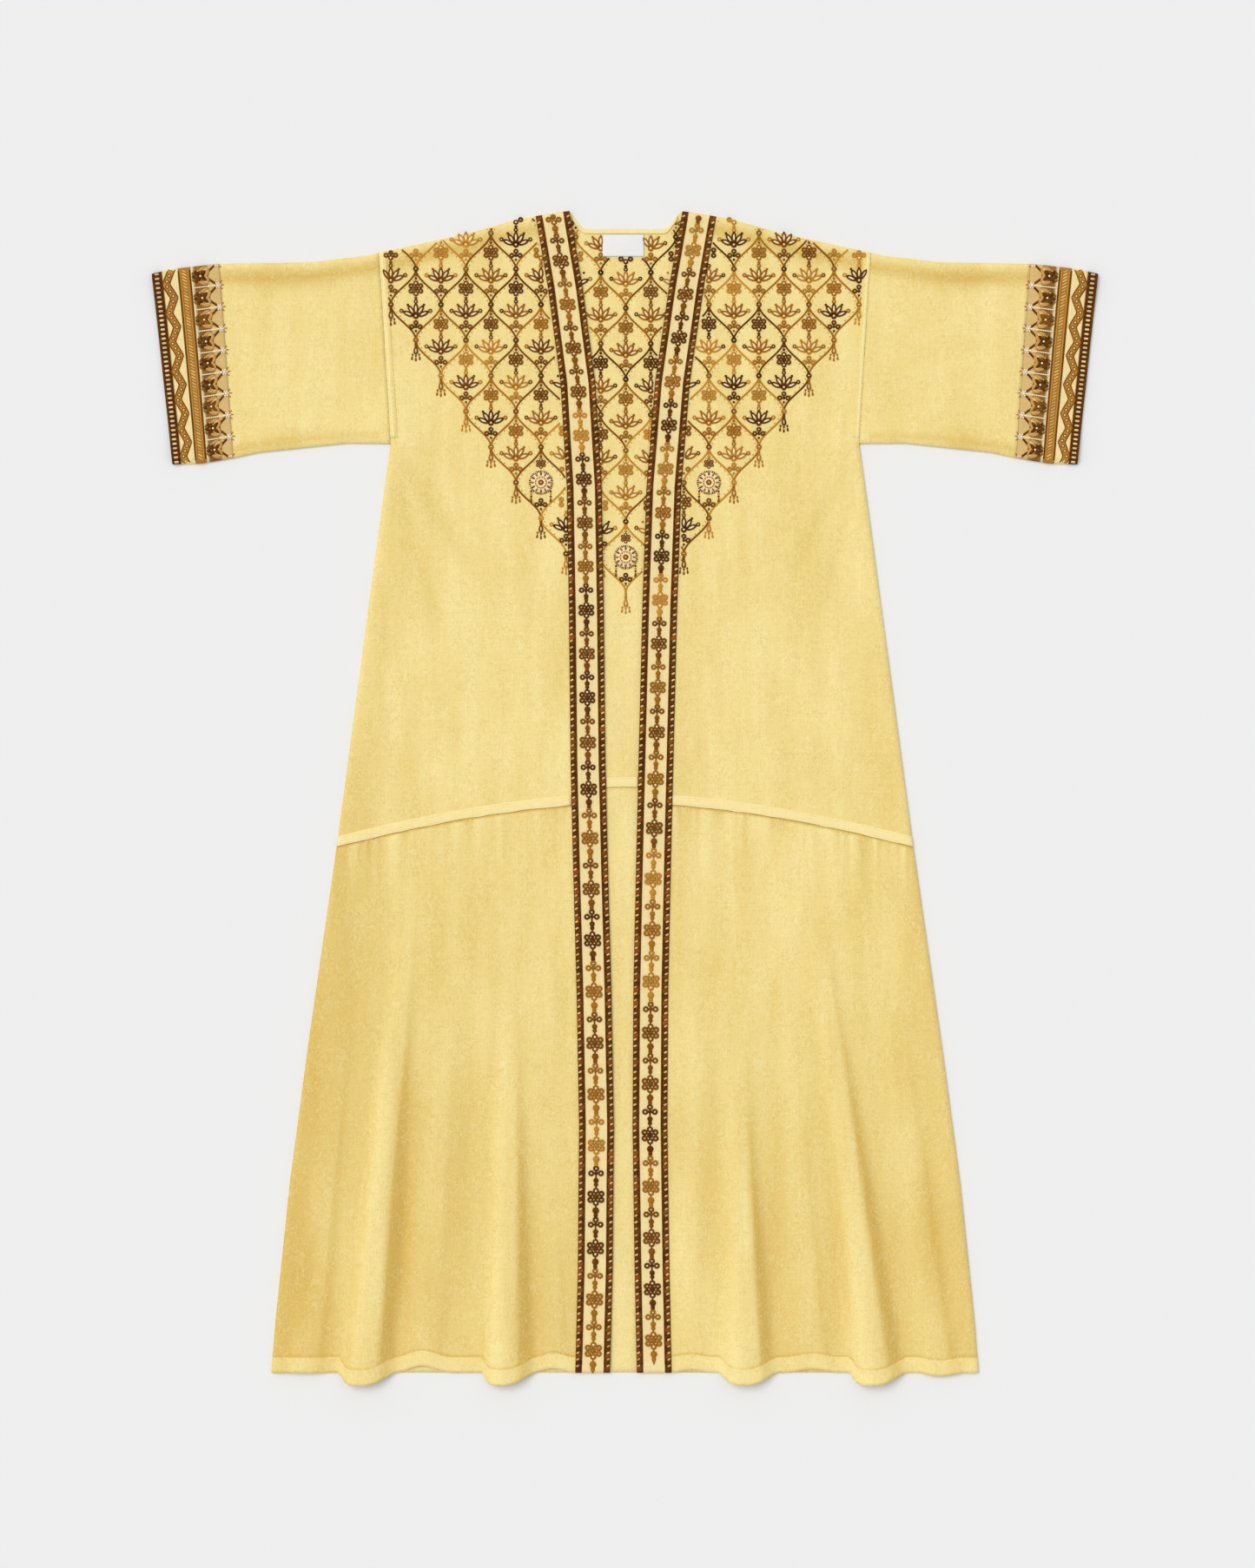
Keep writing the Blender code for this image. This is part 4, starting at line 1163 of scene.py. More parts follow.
def hem_stitches(side):
    """One row along the hem's turning, which follows its dips."""
    x = np.linspace(band_inner(side, 0.0) + BAND_WIDTH + 0.002, BODY_HALF - 0.003, 220)
    row = (x, hem_height(side, x) + HEM_STITCHES)
    return stitches(
        "hem_stitches_" + side, side, upper_top(side), [row], "cotton", pitch=0.0042, length=0.0030)


# Where a flattened sleeve's wall turns round its long edges: how far in, and how high
FOLD = table(
    "inset z", (0.0060, LOWER_Z), (0.0030, LOWER_Z), (0.0018, 0.00080), (0.0011, 0.00115),
    (0.0007, 0.00190), (0.0008, 0.00280))
ROLL_INSETS = np.array([0.0014, 0.0024, 0.0038, 0.0055, 0.0080, 0.0115])
FLAT_INSET = 0.016
FLAT_COUNT = 24
UPPER_INSET = 0.017


def tube_rings(side, bottom_x, top_x, along):
    """A flattened tube's middle surface: rings across the sleeve, each once round from the lower layer.

    A ring's points lie on the straight line between the sleeve's lower and upper edges at that share of its
    length, at the flat lower height underneath, round the fold, and at the upper layer's height on top.
    """
    low_x, high_x = blend(*bottom_x, along), blend(*top_x, along)
    low = np.stack([low_x, sleeve_bottom_height(low_x)], axis=1)
    high = np.stack([high_x, shoulder_height(high_x)], axis=1)
    length = np.linalg.norm(high - low, axis=1)[:, None]
    middle = float(length.mean())
    fold_in, fold_z = np.array(FOLD).T
    flat = np.linspace(FLAT_INSET, middle - FLAT_INSET, FLAT_COUNT)
    count = int((middle - 2 * UPPER_INSET) / cloth_settings().step)
    upper = np.linspace(middle - UPPER_INSET, UPPER_INSET, count)
    places = np.concatenate(
        [flat, middle - fold_in, middle - ROLL_INSETS, upper, ROLL_INSETS[::-1], fold_in[::-1]])
    share = np.where(places > middle / 2, 1.0 - (middle - places) / length, places / length)
    x, height = np.moveaxis(low[:, None, :] + (high - low)[:, None, :] * share[..., None], -1, 0)
    z = upper_z(side, x, height)
    turned, back = len(flat) + len(FOLD), len(places) - len(FOLD)
    z[:, :len(flat)], z[:, len(flat):turned], z[:, back:] = LOWER_Z, fold_z, fold_z[::-1]
    number = np.arange(len(places))
    return x, height, z, (number >= turned) & (number < back)


def tube_object(name, replaces, slot, side, x, height, z, raised=0.0, **looks):
    """A tube's wall: its rings moved out and in along their own normals, and further out where raised."""
    grid = row_points(x, height, z)
    along = np.roll(grid, -1, axis=1) - np.roll(grid, 1, axis=1)
    outward = np.stack([np.zeros(z.shape), along[..., 2], -along[..., 1]], axis=2)
    outward /= np.linalg.norm(outward, axis=2, keepdims=True)
    outside = grid + outward * np.broadcast_to(CLOTH / 2 + raised, z.shape)[..., None]
    return cloth_object(name, replaces, slot, side, outside, grid - outward * CLOTH / 2, ring=True, **looks)


def sleeve(side):
    """A flattened tube from the armhole seam to the cuff's seam."""
    bottom_x = (UNDERARM_X + SEAM_GAP / 2, CUFF_SEAM_BOTTOM_X - SEAM_GAP / 3)
    top_x = (ARMHOLE_TOP_X + SEAM_GAP / 2, CUFF_SEAM_TOP_X - SEAM_GAP / 3)
    x, height, z, _ = tube_rings(side, bottom_x, top_x, shares(SLEEVE_LENGTH, rolled=False))
    return tube_object("sleeve_cloth_" + side, "sleeve_" + side, "cotton", side, x, height, z,
                       tone=side_tone(side, x, height))


def back_panel(replaces, bottom, top, edge_x, across, up, low, high):
    """A panel of the back, flat on the ground and rippled above. Its edges run between two heights."""
    x, height = panel(bottom, top, lambda h: -edge_x(h), edge_x, across, up, ((low, low), (high, high)))
    outside = row_points(x, height, back_top(x, height))
    patches = noise(x, height, *BACK_TONE.patch, SEEDS["tone"]["back"])
    tone = BACK_TONE.plain + BACK_TONE.patches * patches
    return cloth_object(
        replaces + "_cloth", replaces, "cotton", "left", outside, outside * (1.0, 1.0, 0.0), tone=tone)


def back_bodice():
    """From the hip seam up to the shoulders, with its columns close together at the neck's corners."""
    neck = np.linspace(NECK_FLAT_HALF, NECK_HALF, 12) / ARMHOLE_TOP_X
    half = np.concatenate([np.linspace(0.0, neck[0], 9)[:-1], neck, np.linspace(neck[-1], 1.0, 27)[1:]])
    return back_panel(
        "back_bodice", (-HIP_HALF, HIP_HALF, lambda x: hip_height(x, HIP_BACK) + SEAM_GAP / 3),
        (-ARMHOLE_TOP_X, ARMHOLE_TOP_X, neck_height), outer_x,
        0.5 + 0.5 * np.concatenate([-half[:0:-1], half]), steps(100),
        HIP_SIDE, float(shoulder_height(ARMHOLE_TOP_X)))


def back_skirt():
    """From the straight hem up to the hip seam."""
    return back_panel(
        "back_skirt", (-BODY_HALF, BODY_HALF, lambda x: 0.0 * x),
        (-HIP_HALF, HIP_HALF, lambda x: hip_height(x, HIP_BACK) - SEAM_GAP / 3), side_x,
        steps(101), steps(90), 0.0, HIP_SIDE)


def back_strip(name, replaces, slot, x, height, lift, thickness):
    """A small piece that lies on the back's inner face."""
    return sheet_object(name, replaces, slot, "left", x, height, back_top(x, height) + lift, thickness)


def back_tape():
    """The felled strip on the back's inner face, crowned by half a sine wave, and its stitches."""
    rise = np.array([0.0, 0.0010, 0.0025, 0.0060, 0.0095, 0.0110, HIP_TAPE_WIDTH])[:, None]
    x = np.linspace(*BACK_TAPE_REACH, 14)[None, :]
    over = SEAM_GAP + TRIM
    piece = back_strip("hip_tape_cloth_back", "hip_tape_back", "tape", x, hip_height(x, HIP_BACK) + rise,
                       over + 0.0002 * np.sin(np.pi * rise / HIP_TAPE_WIDTH), TRIM)
    line = np.linspace(BACK_TAPE_REACH[0] + 0.001, BACK_TAPE_REACH[1] - 0.001, 12)
    rows = [(line, hip_height(line, HIP_BACK) + row) for row in SEWN_ROWS]
    return piece, stitches("hip_stitches_back", "left", lambda at, h: back_top(at, h) + over, rows)


def neck_binding():
    """A strip along the scooped neck, crowned by half a sine wave, and its row of stitches."""
    half = np.concatenate(
        [np.linspace(0.0, NECK_FLAT_HALF, 12), np.linspace(NECK_FLAT_HALF, NECK_BINDING_HALF, 9)[1:]])
    x = np.concatenate([-half[:0:-1], half])[None, :]
    drop = np.array([1.0, 0.92, 0.7, 0.4, 0.15, 0.0])[:, None] * NECK_BINDING
    over = SEAM_GAP + TRIM
    piece = back_strip("neck_binding_cloth", "neck_binding", "tape", x, neck_height(x) - SEAM_GAP - drop,
                       over + 0.0005 * np.sin(np.pi * drop / NECK_BINDING), TRIM)
    line = np.linspace(-NECK_BINDING_HALF + 0.003, NECK_BINDING_HALF - 0.003, 60)
    row = (line, neck_height(line) - SEAM_GAP - NECK_BINDING + 0.0010)
    return piece, stitches(
        "neck_stitches", "left", lambda at, h: back_top(at, h) + over + 0.0002, [row], pitch=0.0036,
        length=0.0025)


def neck_label():
    """A blank label whose corners are tacked down: it bows up by a cosine across and a sine down it."""
    u, v = np.meshgrid(np.linspace(-0.5, 0.5, 29), np.linspace(1.0, 0.0, 17))
    bow = 0.0009 * np.cos(np.pi * u) * np.sin(np.pi * np.clip(0.15 + 0.85 * v, 0, 1))
    return back_strip("neck_label_cloth", "neck_label", "label", LABEL_X + LABEL_WIDTH * u,
                      LABEL_TOP - LABEL_DEPTH * v, SEAM_GAP + TRIM * 0.8 + bow, TRIM * 0.7)


# Embroidery


def varied(colours, rng, low, high, count):
    """A colour, or one for each place, made darker or lighter by chance."""
    return np.array(colours) * rng.uniform(low, high, (count, 1))


def mottled(count, seed, weights=(0.26, 0.32, 0.28, 0.14)):
    """A brown for each of several motifs, in the shares given, as rows that spread over a motif's parts."""
    rng = np.random.default_rng(seed)
    return varied(BROWNS[rng.choice(4, count, p=weights)], rng, 0.88, 1.12, count)[:, None, :]


def alternate(count, step, first, other):
    """One colour at each place whose number divides by a step, and another between them."""
    return np.where((np.arange(count) % step == 0)[:, None], first, other)


def rosette(work, x, height, size, colour, lean=0.0):
    """Six rings round a disc: a bright bead in the top and bottom ones and a small dot in the others."""
    turn = np.pi / 2 + turns(6)
    up = 0.63 * size * np.sin(turn)
    at_x, at_h = x + 0.66 * size * np.cos(turn) + lean * up, height + up
    sides = [1, 2, 4, 5]
    work.put(RING, at_x, at_h, size * 0.33, colour, rise=1.1)
    work.put(BEAD, at_x[:, ::3], at_h[:, ::3], size * 0.16, CREAM, gloss=True)
    work.put(BEAD, at_x[:, sides], at_h[:, sides], size * 0.105, BLUSH)
    work.put(DISC, x, height, size * 0.34, colour * 0.85, rise=1.2)


def clover(work, x, height, size, colour, lean=0.0, heart=CREAM):
    """Three rings, above and at both sides, round a dark bead."""
    turn = np.array([0.0, np.pi / 2, np.pi])
    up = 0.62 * size * np.sin(turn)
    at_x, at_h = x + 0.62 * size * np.cos(turn) + lean * up, height + up
    work.put(RING, at_x, at_h, size * 0.40, colour)
    work.put(BEAD, at_x, at_h, size * 0.14, heart, gloss=True)
    work.put(BEAD, x, height, size * 0.26, colour * 0.8)


def band_cloth(side):
    """The band as a sheet of rows across it, with its two edgings standing proud and its colours on it."""
    near = np.array([0.0, 0.0006, 0.0012, 0.0025, 0.0045, 0.0062, 0.0074, 0.0082, 0.0095, 0.0125, 0.0165])
    across = np.concatenate([near, [BAND_WIDTH / 2], BAND_WIDTH - near[::-1]])
    top_height = shoulder_height(band_inner(side, SHOULDER_POINT) + across)
    height = SHOULDER_POINT * shares(SHOULDER_POINT)[:, None] * top_height / SHOULDER_POINT
    x = band_inner(side, height) + across
    edging = (np.minimum(across, BAND_WIDTH - across) < BAND_EDGING - 0.0002)[:, None]
    colour = np.where(edging, srgb(96, 52, 12), np.array(thread_settings().ground))
    ripple = 0.00012 * noise(x, height, 0.012, 0.018, SEEDS["band"])
    return sheet_object("band_cloth_" + side, "front_band_" + side, "embroidery", side, x, height,
                        band_top(side)(x, height) + ripple, BAND_CLOTH, thread=colour)


def rope_edging(work, side, edging):
    """One edging: a solid line on the chain's side, dark slanted blocks, and a pale dash in each gap."""
    pitch = thread_settings().rope_pitch
    rng = np.random.default_rng(SEEDS["rope"][edging])

    def at(height, inset):
        across = inset if edging == "inner" else BAND_WIDTH - inset
        return band_inner(side, height) + across, height

    work.cord(*at(np.linspace(0.002, SHOULDER_POINT - 0.002, 170), BAND_EDGING - 0.0009), 0.00095, DARK)
    places = np.arange(0.0045, SHOULDER_POINT - 0.004, pitch)
    browns = np.array([DARK, MID, REDDISH])[rng.choice(3, len(places), p=(0.66, 0.22, 0.12))]
    browns = varied(browns, rng, 0.7, 1.15, len(places))
    turn = -np.arctan(np.gradient(band_inner(side, places), places))
    work.put(EDGE_BLOCK[side], *at(places, 0.0034), MILLIMETRE, browns, turn)
    pinks = varied(srgb(240, 196, 136), rng, 0.60, 1.10, len(places))
    slant = turn + SIGN[side] * 0.50
    work.put(DASH, *at(places + pitch / 2, 0.0026), MILLIMETRE, pinks, slant, lift=0.0006)


CHAIN = Values(start=0.026, left_start=0.012, shrink_from=0.52, shrink_over=0.30, drawn_pitch=0.0615)


def chain_heights():
    """The rosettes' heights up a band. Their repeat shrinks from the skirt's to the bodice's."""
    thread = thread_settings()
    places = [CHAIN.start]
    while places[-1] < SHOULDER_POINT:
        share = float(ease((places[-1] - CHAIN.shrink_from) / CHAIN.shrink_over))
        places.append(places[-1] + blend(thread.chain_pitch_low, thread.chain_pitch_high, share))
    return np.array(places)


def band_embroidery(side):
    """The chain up the middle of a band: in each repeat a clover, beads, a rosette, a bead and a leaf."""
    work = Needlework(band_top(side), lambda x, h: (shoulder_height(x) - h > 0.003) & (h > 0.002))
    rope_edging(work, side, "inner")
    rope_edging(work, side, "outer")
    flowers = chain_heights() + (CHAIN.left_start if side == "left" else 0.0)
    scale = np.gradient(flowers) / CHAIN.drawn_pitch
    colour = mottled(len(flowers), SEEDS["chain"][side])

    def centre(height):
        return band_inner(side, height) + BAND_WIDTH / 2

    def along(offset):
        height = flowers + offset * scale
        return centre(height)[:, None], height[:, None]

    lean = ((centre(flowers + 0.01) - centre(flowers - 0.01)) / 0.02)[:, None]
    sizes = (0.5 + 0.5 * scale)[:, None]
    for height, stretch, brown in zip(flowers, scale, colour):
        line = height + np.linspace(-0.0285, 0.0270, 9) * stretch
        work.cord(centre(line), line, 0.0011, brown[0])
    rosette(work, *along(0.0), 0.0114 * sizes, colour, lean)
    clover(work, *along(0.0282), 0.0092 * sizes, colour, lean)
    for offset, radius in ((0.0196, 0.0034), (0.0146, 0.0028), (-0.0164, 0.0042)):
        work.put(BEAD, *along(offset), radius * sizes, colour)
    work.put(BEAD, *along(-0.0168), 0.0009, GOLD, lift=0.0018)
    work.put(WIDE_LEAF, *along(-0.0220), 0.0054 * sizes, colour, rise=1.2)
    return work.finish("band_embroidery_" + side, side)


# The cuffs' rows and zones, as shares of their width from the seam outwards
CUFF_LENGTH = 0.2263
CUFF_LOW = 1.0755
CUFF_END_HEIGHT = 0.225
CUFF_LEAN = math.atan2(CUFF_END_TOP_X - CUFF_END_BOTTOM_X, CUFF_END_HEIGHT)
RAISED_BORDERS = table("start end", (0.435, 0.615), (0.862, 0.99))
BORDER_RISE = 0.0007
BORDER_SLOPE = 0.025
ZONE_ENDS = (0.17, 0.415, 0.435, 0.62, 0.86)
FLOWER_ZONE = 1
LADDER_ROW = 0.926
HATCH_ROW = 0.525
STAR_ROW = 0.048
ROPE_BROWN = srgb(104, 58, 12)
CUFF_CORDS = table(
    "row radius colour rise", (0.879, 0.0009, DARK, 1.0), (0.981, 0.0014, DARK, 1.0),
    (0.854, 0.0005, MID, 1.0), (0.660, 0.0005, IVORY, 1.0), (0.628, 0.0005, IVORY, 1.0),
    (0.424, 0.0005, IVORY, 1.0), (0.441, 0.0010, ROPE_BROWN, 1.2), (0.609, 0.0010, ROPE_BROWN, 1.2),
    (0.470, 0.0009, GOLD, 1.2), (0.581, 0.0009, GOLD, 1.2))
ZIGZAG = Values(middle=0.757, reach=0.054, length=0.0335, point=0.985, cord_shift=0.056)
LADDER_PITCH = 0.0054
HATCH_PITCH = 0.0036
CIRCLE_PITCH = 0.0060


def cuff_place(up, out):
    """The plan point on a cuff at a share of its height from its lower edge and its width from its seam."""
    low_x = blend(CUFF_SEAM_BOTTOM_X, CUFF_END_BOTTOM_X, out)
    high_x = blend(CUFF_SEAM_TOP_X, CUFF_END_TOP_X, out)
    return blend(low_x, high_x, up), blend(sleeve_bottom_height(low_x), shoulder_height(high_x), up)


def cuff_share(x, height):
    """The share of the cuff's width at a plan point: the inverse of cuff_place, near enough linear."""
    up = (height - CUFF_LOW) / CUFF_LENGTH
    seam = blend(CUFF_SEAM_BOTTOM_X, CUFF_SEAM_TOP_X, up)
    return (x - seam) / (blend(CUFF_END_BOTTOM_X, CUFF_END_TOP_X, up) - seam)


def cuff_raised(out):
    """How far the rope's and the ladder's borders stand above the cuff."""
    return BORDER_RISE * sum(
        ease((out - row.start) / BORDER_SLOPE) * ease((row.end - out) / BORDER_SLOPE)
        for row in RAISED_BORDERS)


def cuff_cloth(side):
    """A flattened tube whose two borders stand up on top, in zones of ground colour along its width."""
    bottom_x = (CUFF_SEAM_BOTTOM_X + SEAM_GAP / 3, CUFF_END_BOTTOM_X)
    top_x = (CUFF_SEAM_TOP_X + SEAM_GAP / 3, CUFF_END_TOP_X)
    slope = BORDER_SLOPE
    edges = [out for start, end in RAISED_BORDERS for out in (start, start + slope, end - slope, end)]
    # The last border slopes down to the cuff's own end
    along = np.array(sorted({*np.round(steps(25), 4), *edges[:-1]}))
    x, height, z, on_top = tube_rings(side, bottom_x, top_x, along)
    zone = np.digitize(along, ZONE_ENDS)
    ground = tuple(thread_settings().ground)
    colours = np.array(
        [srgb(228, 192, 124), srgb(150, 104, 44), IVORY, srgb(182, 126, 50), ground, srgb(80, 40, 8)])
    mottle = 0.25 * noise(x, height, 0.007, 0.007, SEEDS["cuff ground"]) * (zone == FLOWER_ZONE)[:, None]
    return tube_object(
        "cuff_cloth_" + side, "cuff_" + side, "embroidery", side, x, height, z,
        cuff_raised(along)[:, None] * on_top, thread=colours[zone][:, None] * (1.0 + mottle[..., None]))


def cuff_embroidery(side):
    """Ladder, zigzag ribbon, rope, and a zone of flowers and palmettes whose chevrons end in star beads."""

    def inside(x, h):
        return (edge_distance(x, h) > 0.0006) & (h > sleeve_bottom_height(x)) & (h < shoulder_height(x))

    work = Needlework(lambda x, h: upper_top(side)(x, h) + cuff_raised(cuff_share(x, h)), whole=inside)
    turn = -CUFF_LEAN
    rng = np.random.default_rng(SEEDS["cuff"])
    rungs = np.arange(0.010, 0.995, LADDER_PITCH / CUFF_LENGTH)
    pinks = varied(srgb(248, 214, 150), rng, 0.7, 1.05, len(rungs))
    work.put(RUNG, *cuff_place(rungs, LADDER_ROW), MILLIMETRE, pinks, turn, lift=0.0003)
    hatch = np.arange(0.008, 0.99, HATCH_PITCH / CUFF_LENGTH)
    browns = varied(srgb(236, 190, 110), rng, 0.7, 1.1, len(hatch))
    work.put(HATCH, *cuff_place(hatch, HATCH_ROW), MILLIMETRE, browns, turn + 0.60, lift=0.0003)
    for cord in CUFF_CORDS:
        work.cord(*cuff_place(steps(60), cord.row), cord.radius, cord.colour, cord.rise)
    zigzag(work)
    palmettes(work, turn)
    cuff_flowers(work, turn)
    return work.finish("cuff_embroidery_" + side, side)


def zigzag(work):
    """A flat ribbon between two thin cords, with a row of ringed beads on it.

    It runs to and fro as the arcsine of a sine, which rounds its points a little.
    """

    def swing(up):
        turn = up * 2 * np.pi * CUFF_LENGTH / ZIGZAG.length
        return ZIGZAG.middle + ZIGZAG.reach * np.arcsin(ZIGZAG.point * np.sin(turn)) * 2 / np.pi

    up = steps(161)
    work.cord(*cuff_place(up, swing(up)), 0.0040, srgb(190, 138, 58), rise=0.17)
    for toward in TOWARDS:
        edge = cuff_place(up, swing(up) + toward * ZIGZAG.cord_shift)
        work.cord(*edge, 0.0008, srgb(128, 76, 20), rise=1.3)
    circles = np.arange(0.012, 0.99, CIRCLE_PITCH / CUFF_LENGTH)
    work.put(THIN_RING, *cuff_place(circles, swing(circles)), 0.0024, srgb(140, 86, 24), lift=0.0004)
    work.put(BEAD, *cuff_place(circles, swing(circles)), 0.0010, CREAM, lift=0.0005)


def palmettes(work, turn):
    """Fans of leaves under chevrons. A string of beads runs through each, and a star of beads ends it."""
    gaps = thread_settings().cuff_points
    tips = (np.arange(gaps + 1) / gaps)[:, None]
    path = steps(7)
    for tip in tips[:, 0]:
        for toward in TOWARDS:
            work.cord(*cuff_place(tip + toward * 0.40 * path / gaps, 0.050 + 0.150 * path), 0.00135, DARK)
    work.put(BEAD, *cuff_place(tips, np.linspace(0.10, 0.40, 13)), 0.0010, CREAM, lift=0.0010, gloss=True)
    work.put(WIDE_LEAF, *cuff_place(tips, 0.140), 0.0058, STRAW, turn - np.pi / 2)
    heart, fan = cuff_place(tips, 0.130), turn + np.radians([-62.0, -42.0, -23.0, 23.0, 42.0, 62.0])
    leaves = np.array([HONEY, STRAW, HONEY, HONEY, STRAW, HONEY])
    work.spray(LEAF, *heart, 0.0112, fan, 0.0062, leaves, rise=1.1)
    work.spray(LEAF, *heart, 0.0104, fan, 0.0034, MID, lift=0.0007)
    work.spray(LEAF, *heart, 0.0186, fan[1:5], 0.0030, CREAM, rise=1.1)
    star, spikes = cuff_place(tips, STAR_ROW), np.pi + turn + np.array([-0.75, 0.0, 0.75])
    rays = around(*star, 0.0027, turns(6) + turn)
    work.put(BEAD, *rays, 0.0012, srgb(252, 232, 208), lift=0.0006, gloss=True)
    work.put(BEAD, *star, 0.0017, srgb(255, 242, 226), lift=0.0010, gloss=True)
    work.spray(LEAF, *star, 0.0058, spikes, 0.0021, srgb(176, 116, 76), rise=1.3)


def cuff_flowers(work, turn):
    """Four-petalled flowers between the palmettes, each between two dots and with two olive leaves."""
    gaps = thread_settings().cuff_points
    between = ((np.arange(gaps) + 0.5) / gaps)[:, None]
    flower = cuff_place(between, 0.290)
    browns = mottled(gaps, SEEDS["cuff flowers"], (0.70, 0.30, 0.0, 0.0))
    petals = turn + np.pi / 4 + turns(4)
    work.spray(WIDE_LEAF, *flower, 0.0046, petals, 0.0052, browns, rise=1.5, lift=0.0005)
    work.put(BEAD, *flower, 0.0015, CREAM, lift=0.0014, gloss=True)
    for out, brown in ((0.205, MID), (0.392, DARK)):
        work.put(DISC, *cuff_place(between, out), 0.0026, brown, rise=1.2)
    for toward in TOWARDS:
        leaf = cuff_place(between + toward * 0.20 / gaps, 0.385)
        work.put(LEAF, *leaf, 0.0042, OLIVE, turn + toward * 0.9, rise=1.2)


def open_flower(work, x, height, colour, tips):
    """Five looped petals that spread upwards from a small cup, each with a cream heart and a ringed tip."""
    way = np.radians([-66.0, -33.0, 0.0, 33.0, 66.0]) + np.pi / 2
    work.spray(LEAF, x, height, 0.0100, way, 0.0050, CREAM)
    work.spray(PETAL_LOOP, x, height, 0.0098, way, 0.0074, colour, rise=1.1)
    work.put(RING, *around(x, height, 0.0186, way[::2]), 0.0026, tips, rise=1.1)
    work.put(BEAD, *around(x, height, 0.0186, way[::2]), 0.0010, CREAM, gloss=True)
    work.put(BEAD, *around(x, height, 0.0175, way[1::2]), 0.0016, colour)
    work.put(DISC, x, height + 0.0010, 0.0036, colour, rise=1.3)
    work.put(BEAD, x, height + 0.0015, 0.0013, CREAM, lift=0.0010, gloss=True)


def cell_filling(work, x, height, colour, tips, full):
    """What hangs in a cell of the trellis: beads, a rosette, an open flower, a clover and a bead."""
    x, height = x[:, None], height[:, None]
    for up, radius in ((0.0345, 0.0014), (0.0308, 0.0019), (0.0075, 0.0020)):
        work.put(BEAD, x, height + up, radius, colour)
    if full:
        rosette(work, x, height + 0.0190, 0.0098, colour)
        open_flower(work, x, height - 0.0150, tips, colour)
    clover(work, x, height - 0.0262, 0.0078, tips, heart=BLUSH)
    work.put(BEAD, x, height - 0.0312, 0.0016, tips)


def ogee(work, x, height, half, tall, toward, upper, colour):
    """One curve of the trellis, with beads inside it: half a cosine wave from a cell's side to its tip."""

    def bow(t):
        return half * 0.5 * (1.0 + np.cos(2 * np.pi * t))

    t = np.linspace(0.0, 0.5, 16)
    work.cord(x + toward * bow(t), height + tall * t * upper, 0.00120, colour)
    t = np.linspace(0.05, 0.40, 7)
    work.put(BEAD, x + toward * (bow(t) - 0.0036), height + tall * t * upper, 0.0008, GOLD)


TRELLIS_COLUMNS = np.arange(-12, 13)
TRELLIS_ROWS = np.arange(-8, 12)


def trellis(work, place, reach, seed):
    """An ogee trellis: kissing waves make pointed cells with flowers in them, each row half a cell along."""
    half, tall = thread_settings().yoke_pitch, thread_settings().yoke_height
    column, line = np.meshgrid(TRELLIS_COLUMNS, TRELLIS_ROWS)
    chosen = (column + line) % 2 == 0
    column, line = column[chosen], line[chosen]
    x, height = place.x + column * half, place.height + line * tall / 2

    def inside(at_x, at_h):
        return at_h - tall / 2 - 0.012 > read_table(YOKE_LIMIT, "height", "x", np.abs(at_x))

    held = (x > reach[0]) & (x < reach[1]) & (height < SHOULDER_POINT + tall / 2) & inside(x, height)
    centre = (column == 0) & (line == 0)
    colours = mottled(len(x), seed, (0.28, 0.26, 0.28, 0.18))
    tips = mottled(len(x), seed + 1, (0.24, 0.26, 0.30, 0.20))
    for chosen, full in ((held & ~centre, True), (held & centre, False)):
        cell_filling(work, x[chosen], height[chosen], colours[chosen], tips[chosen], full)
    for at_x, at_h, brown in zip(x[held], height[held], colours[held]):
        for toward in TOWARDS:
            ogee(work, at_x, at_h, half, tall, toward, 1.0, brown[0])
            if not inside(at_x + toward * half, at_h - tall / 2):
                ogee(work, at_x, at_h, half, tall, toward, -1.0, brown[0])
    knots = x[held][:, None] + half * np.array(TOWARDS), height[held][:, None]
    work.put(RING, *knots, 0.0034, colours[held], rise=1.2)
    work.put(BEAD, *knots, 0.0015, CREAM, gloss=True)
    lowest = held & ~inside(x, height - tall)
    foot_x, foot_h, brown = x[lowest][:, None], height[lowest][:, None] - tall / 2, colours[lowest]
    work.put(BEAD, foot_x, foot_h - np.array([0.0012, 0.0040]), 0.0018, brown)
    work.put(DROP_LOOP, foot_x, foot_h - 0.0110, 0.0062, brown, rise=1.2)
    work.put(DROP, foot_x, foot_h - 0.0114, 0.0034, CREAM)
    tilt = np.array([-1.0, 0.0, 1.0])
    low = foot_h - 0.0186 + 0.0014 * np.abs(tilt)
    work.put(BEAD, foot_x + tilt * 0.0040, low, 0.0014, brown)
    work.put(DROP, foot_x + tilt * 0.0044, low - 0.0038, 0.0030, brown, tilt * 0.15, rise=1.3)


def medallion_drops(work, x, height):
    """A rosette above a medallion, and short strings of beads with drops beside it."""
    path = height - 0.0105 - np.linspace(0.0, 0.006, 3)
    for toward in TOWARDS:
        work.put(BEAD, x + toward * 0.0115, path, 0.0014, alternate(3, 2, DARK, GOLD))
        work.put(DROP, x + toward * 0.0115, path[-1] - 0.0042, 0.0036, MID, rise=1.3)
    rosette(work, np.array([[x]]), np.array([[height + 0.0225]]), 0.0066, np.array([[MID]]))


def yoke(part, top, allowed, place, reach):
    """One part of the yoke's ornament: the trellis set out from a medallion, and what hangs round that."""
    work = Needlework(top, allowed)
    trellis(work, place, reach, SEEDS["yoke"][part])
    medallion_drops(work, place.x, place.height)
    return work.finish("yoke_embroidery_" + part, "left" if part == "back" else part)


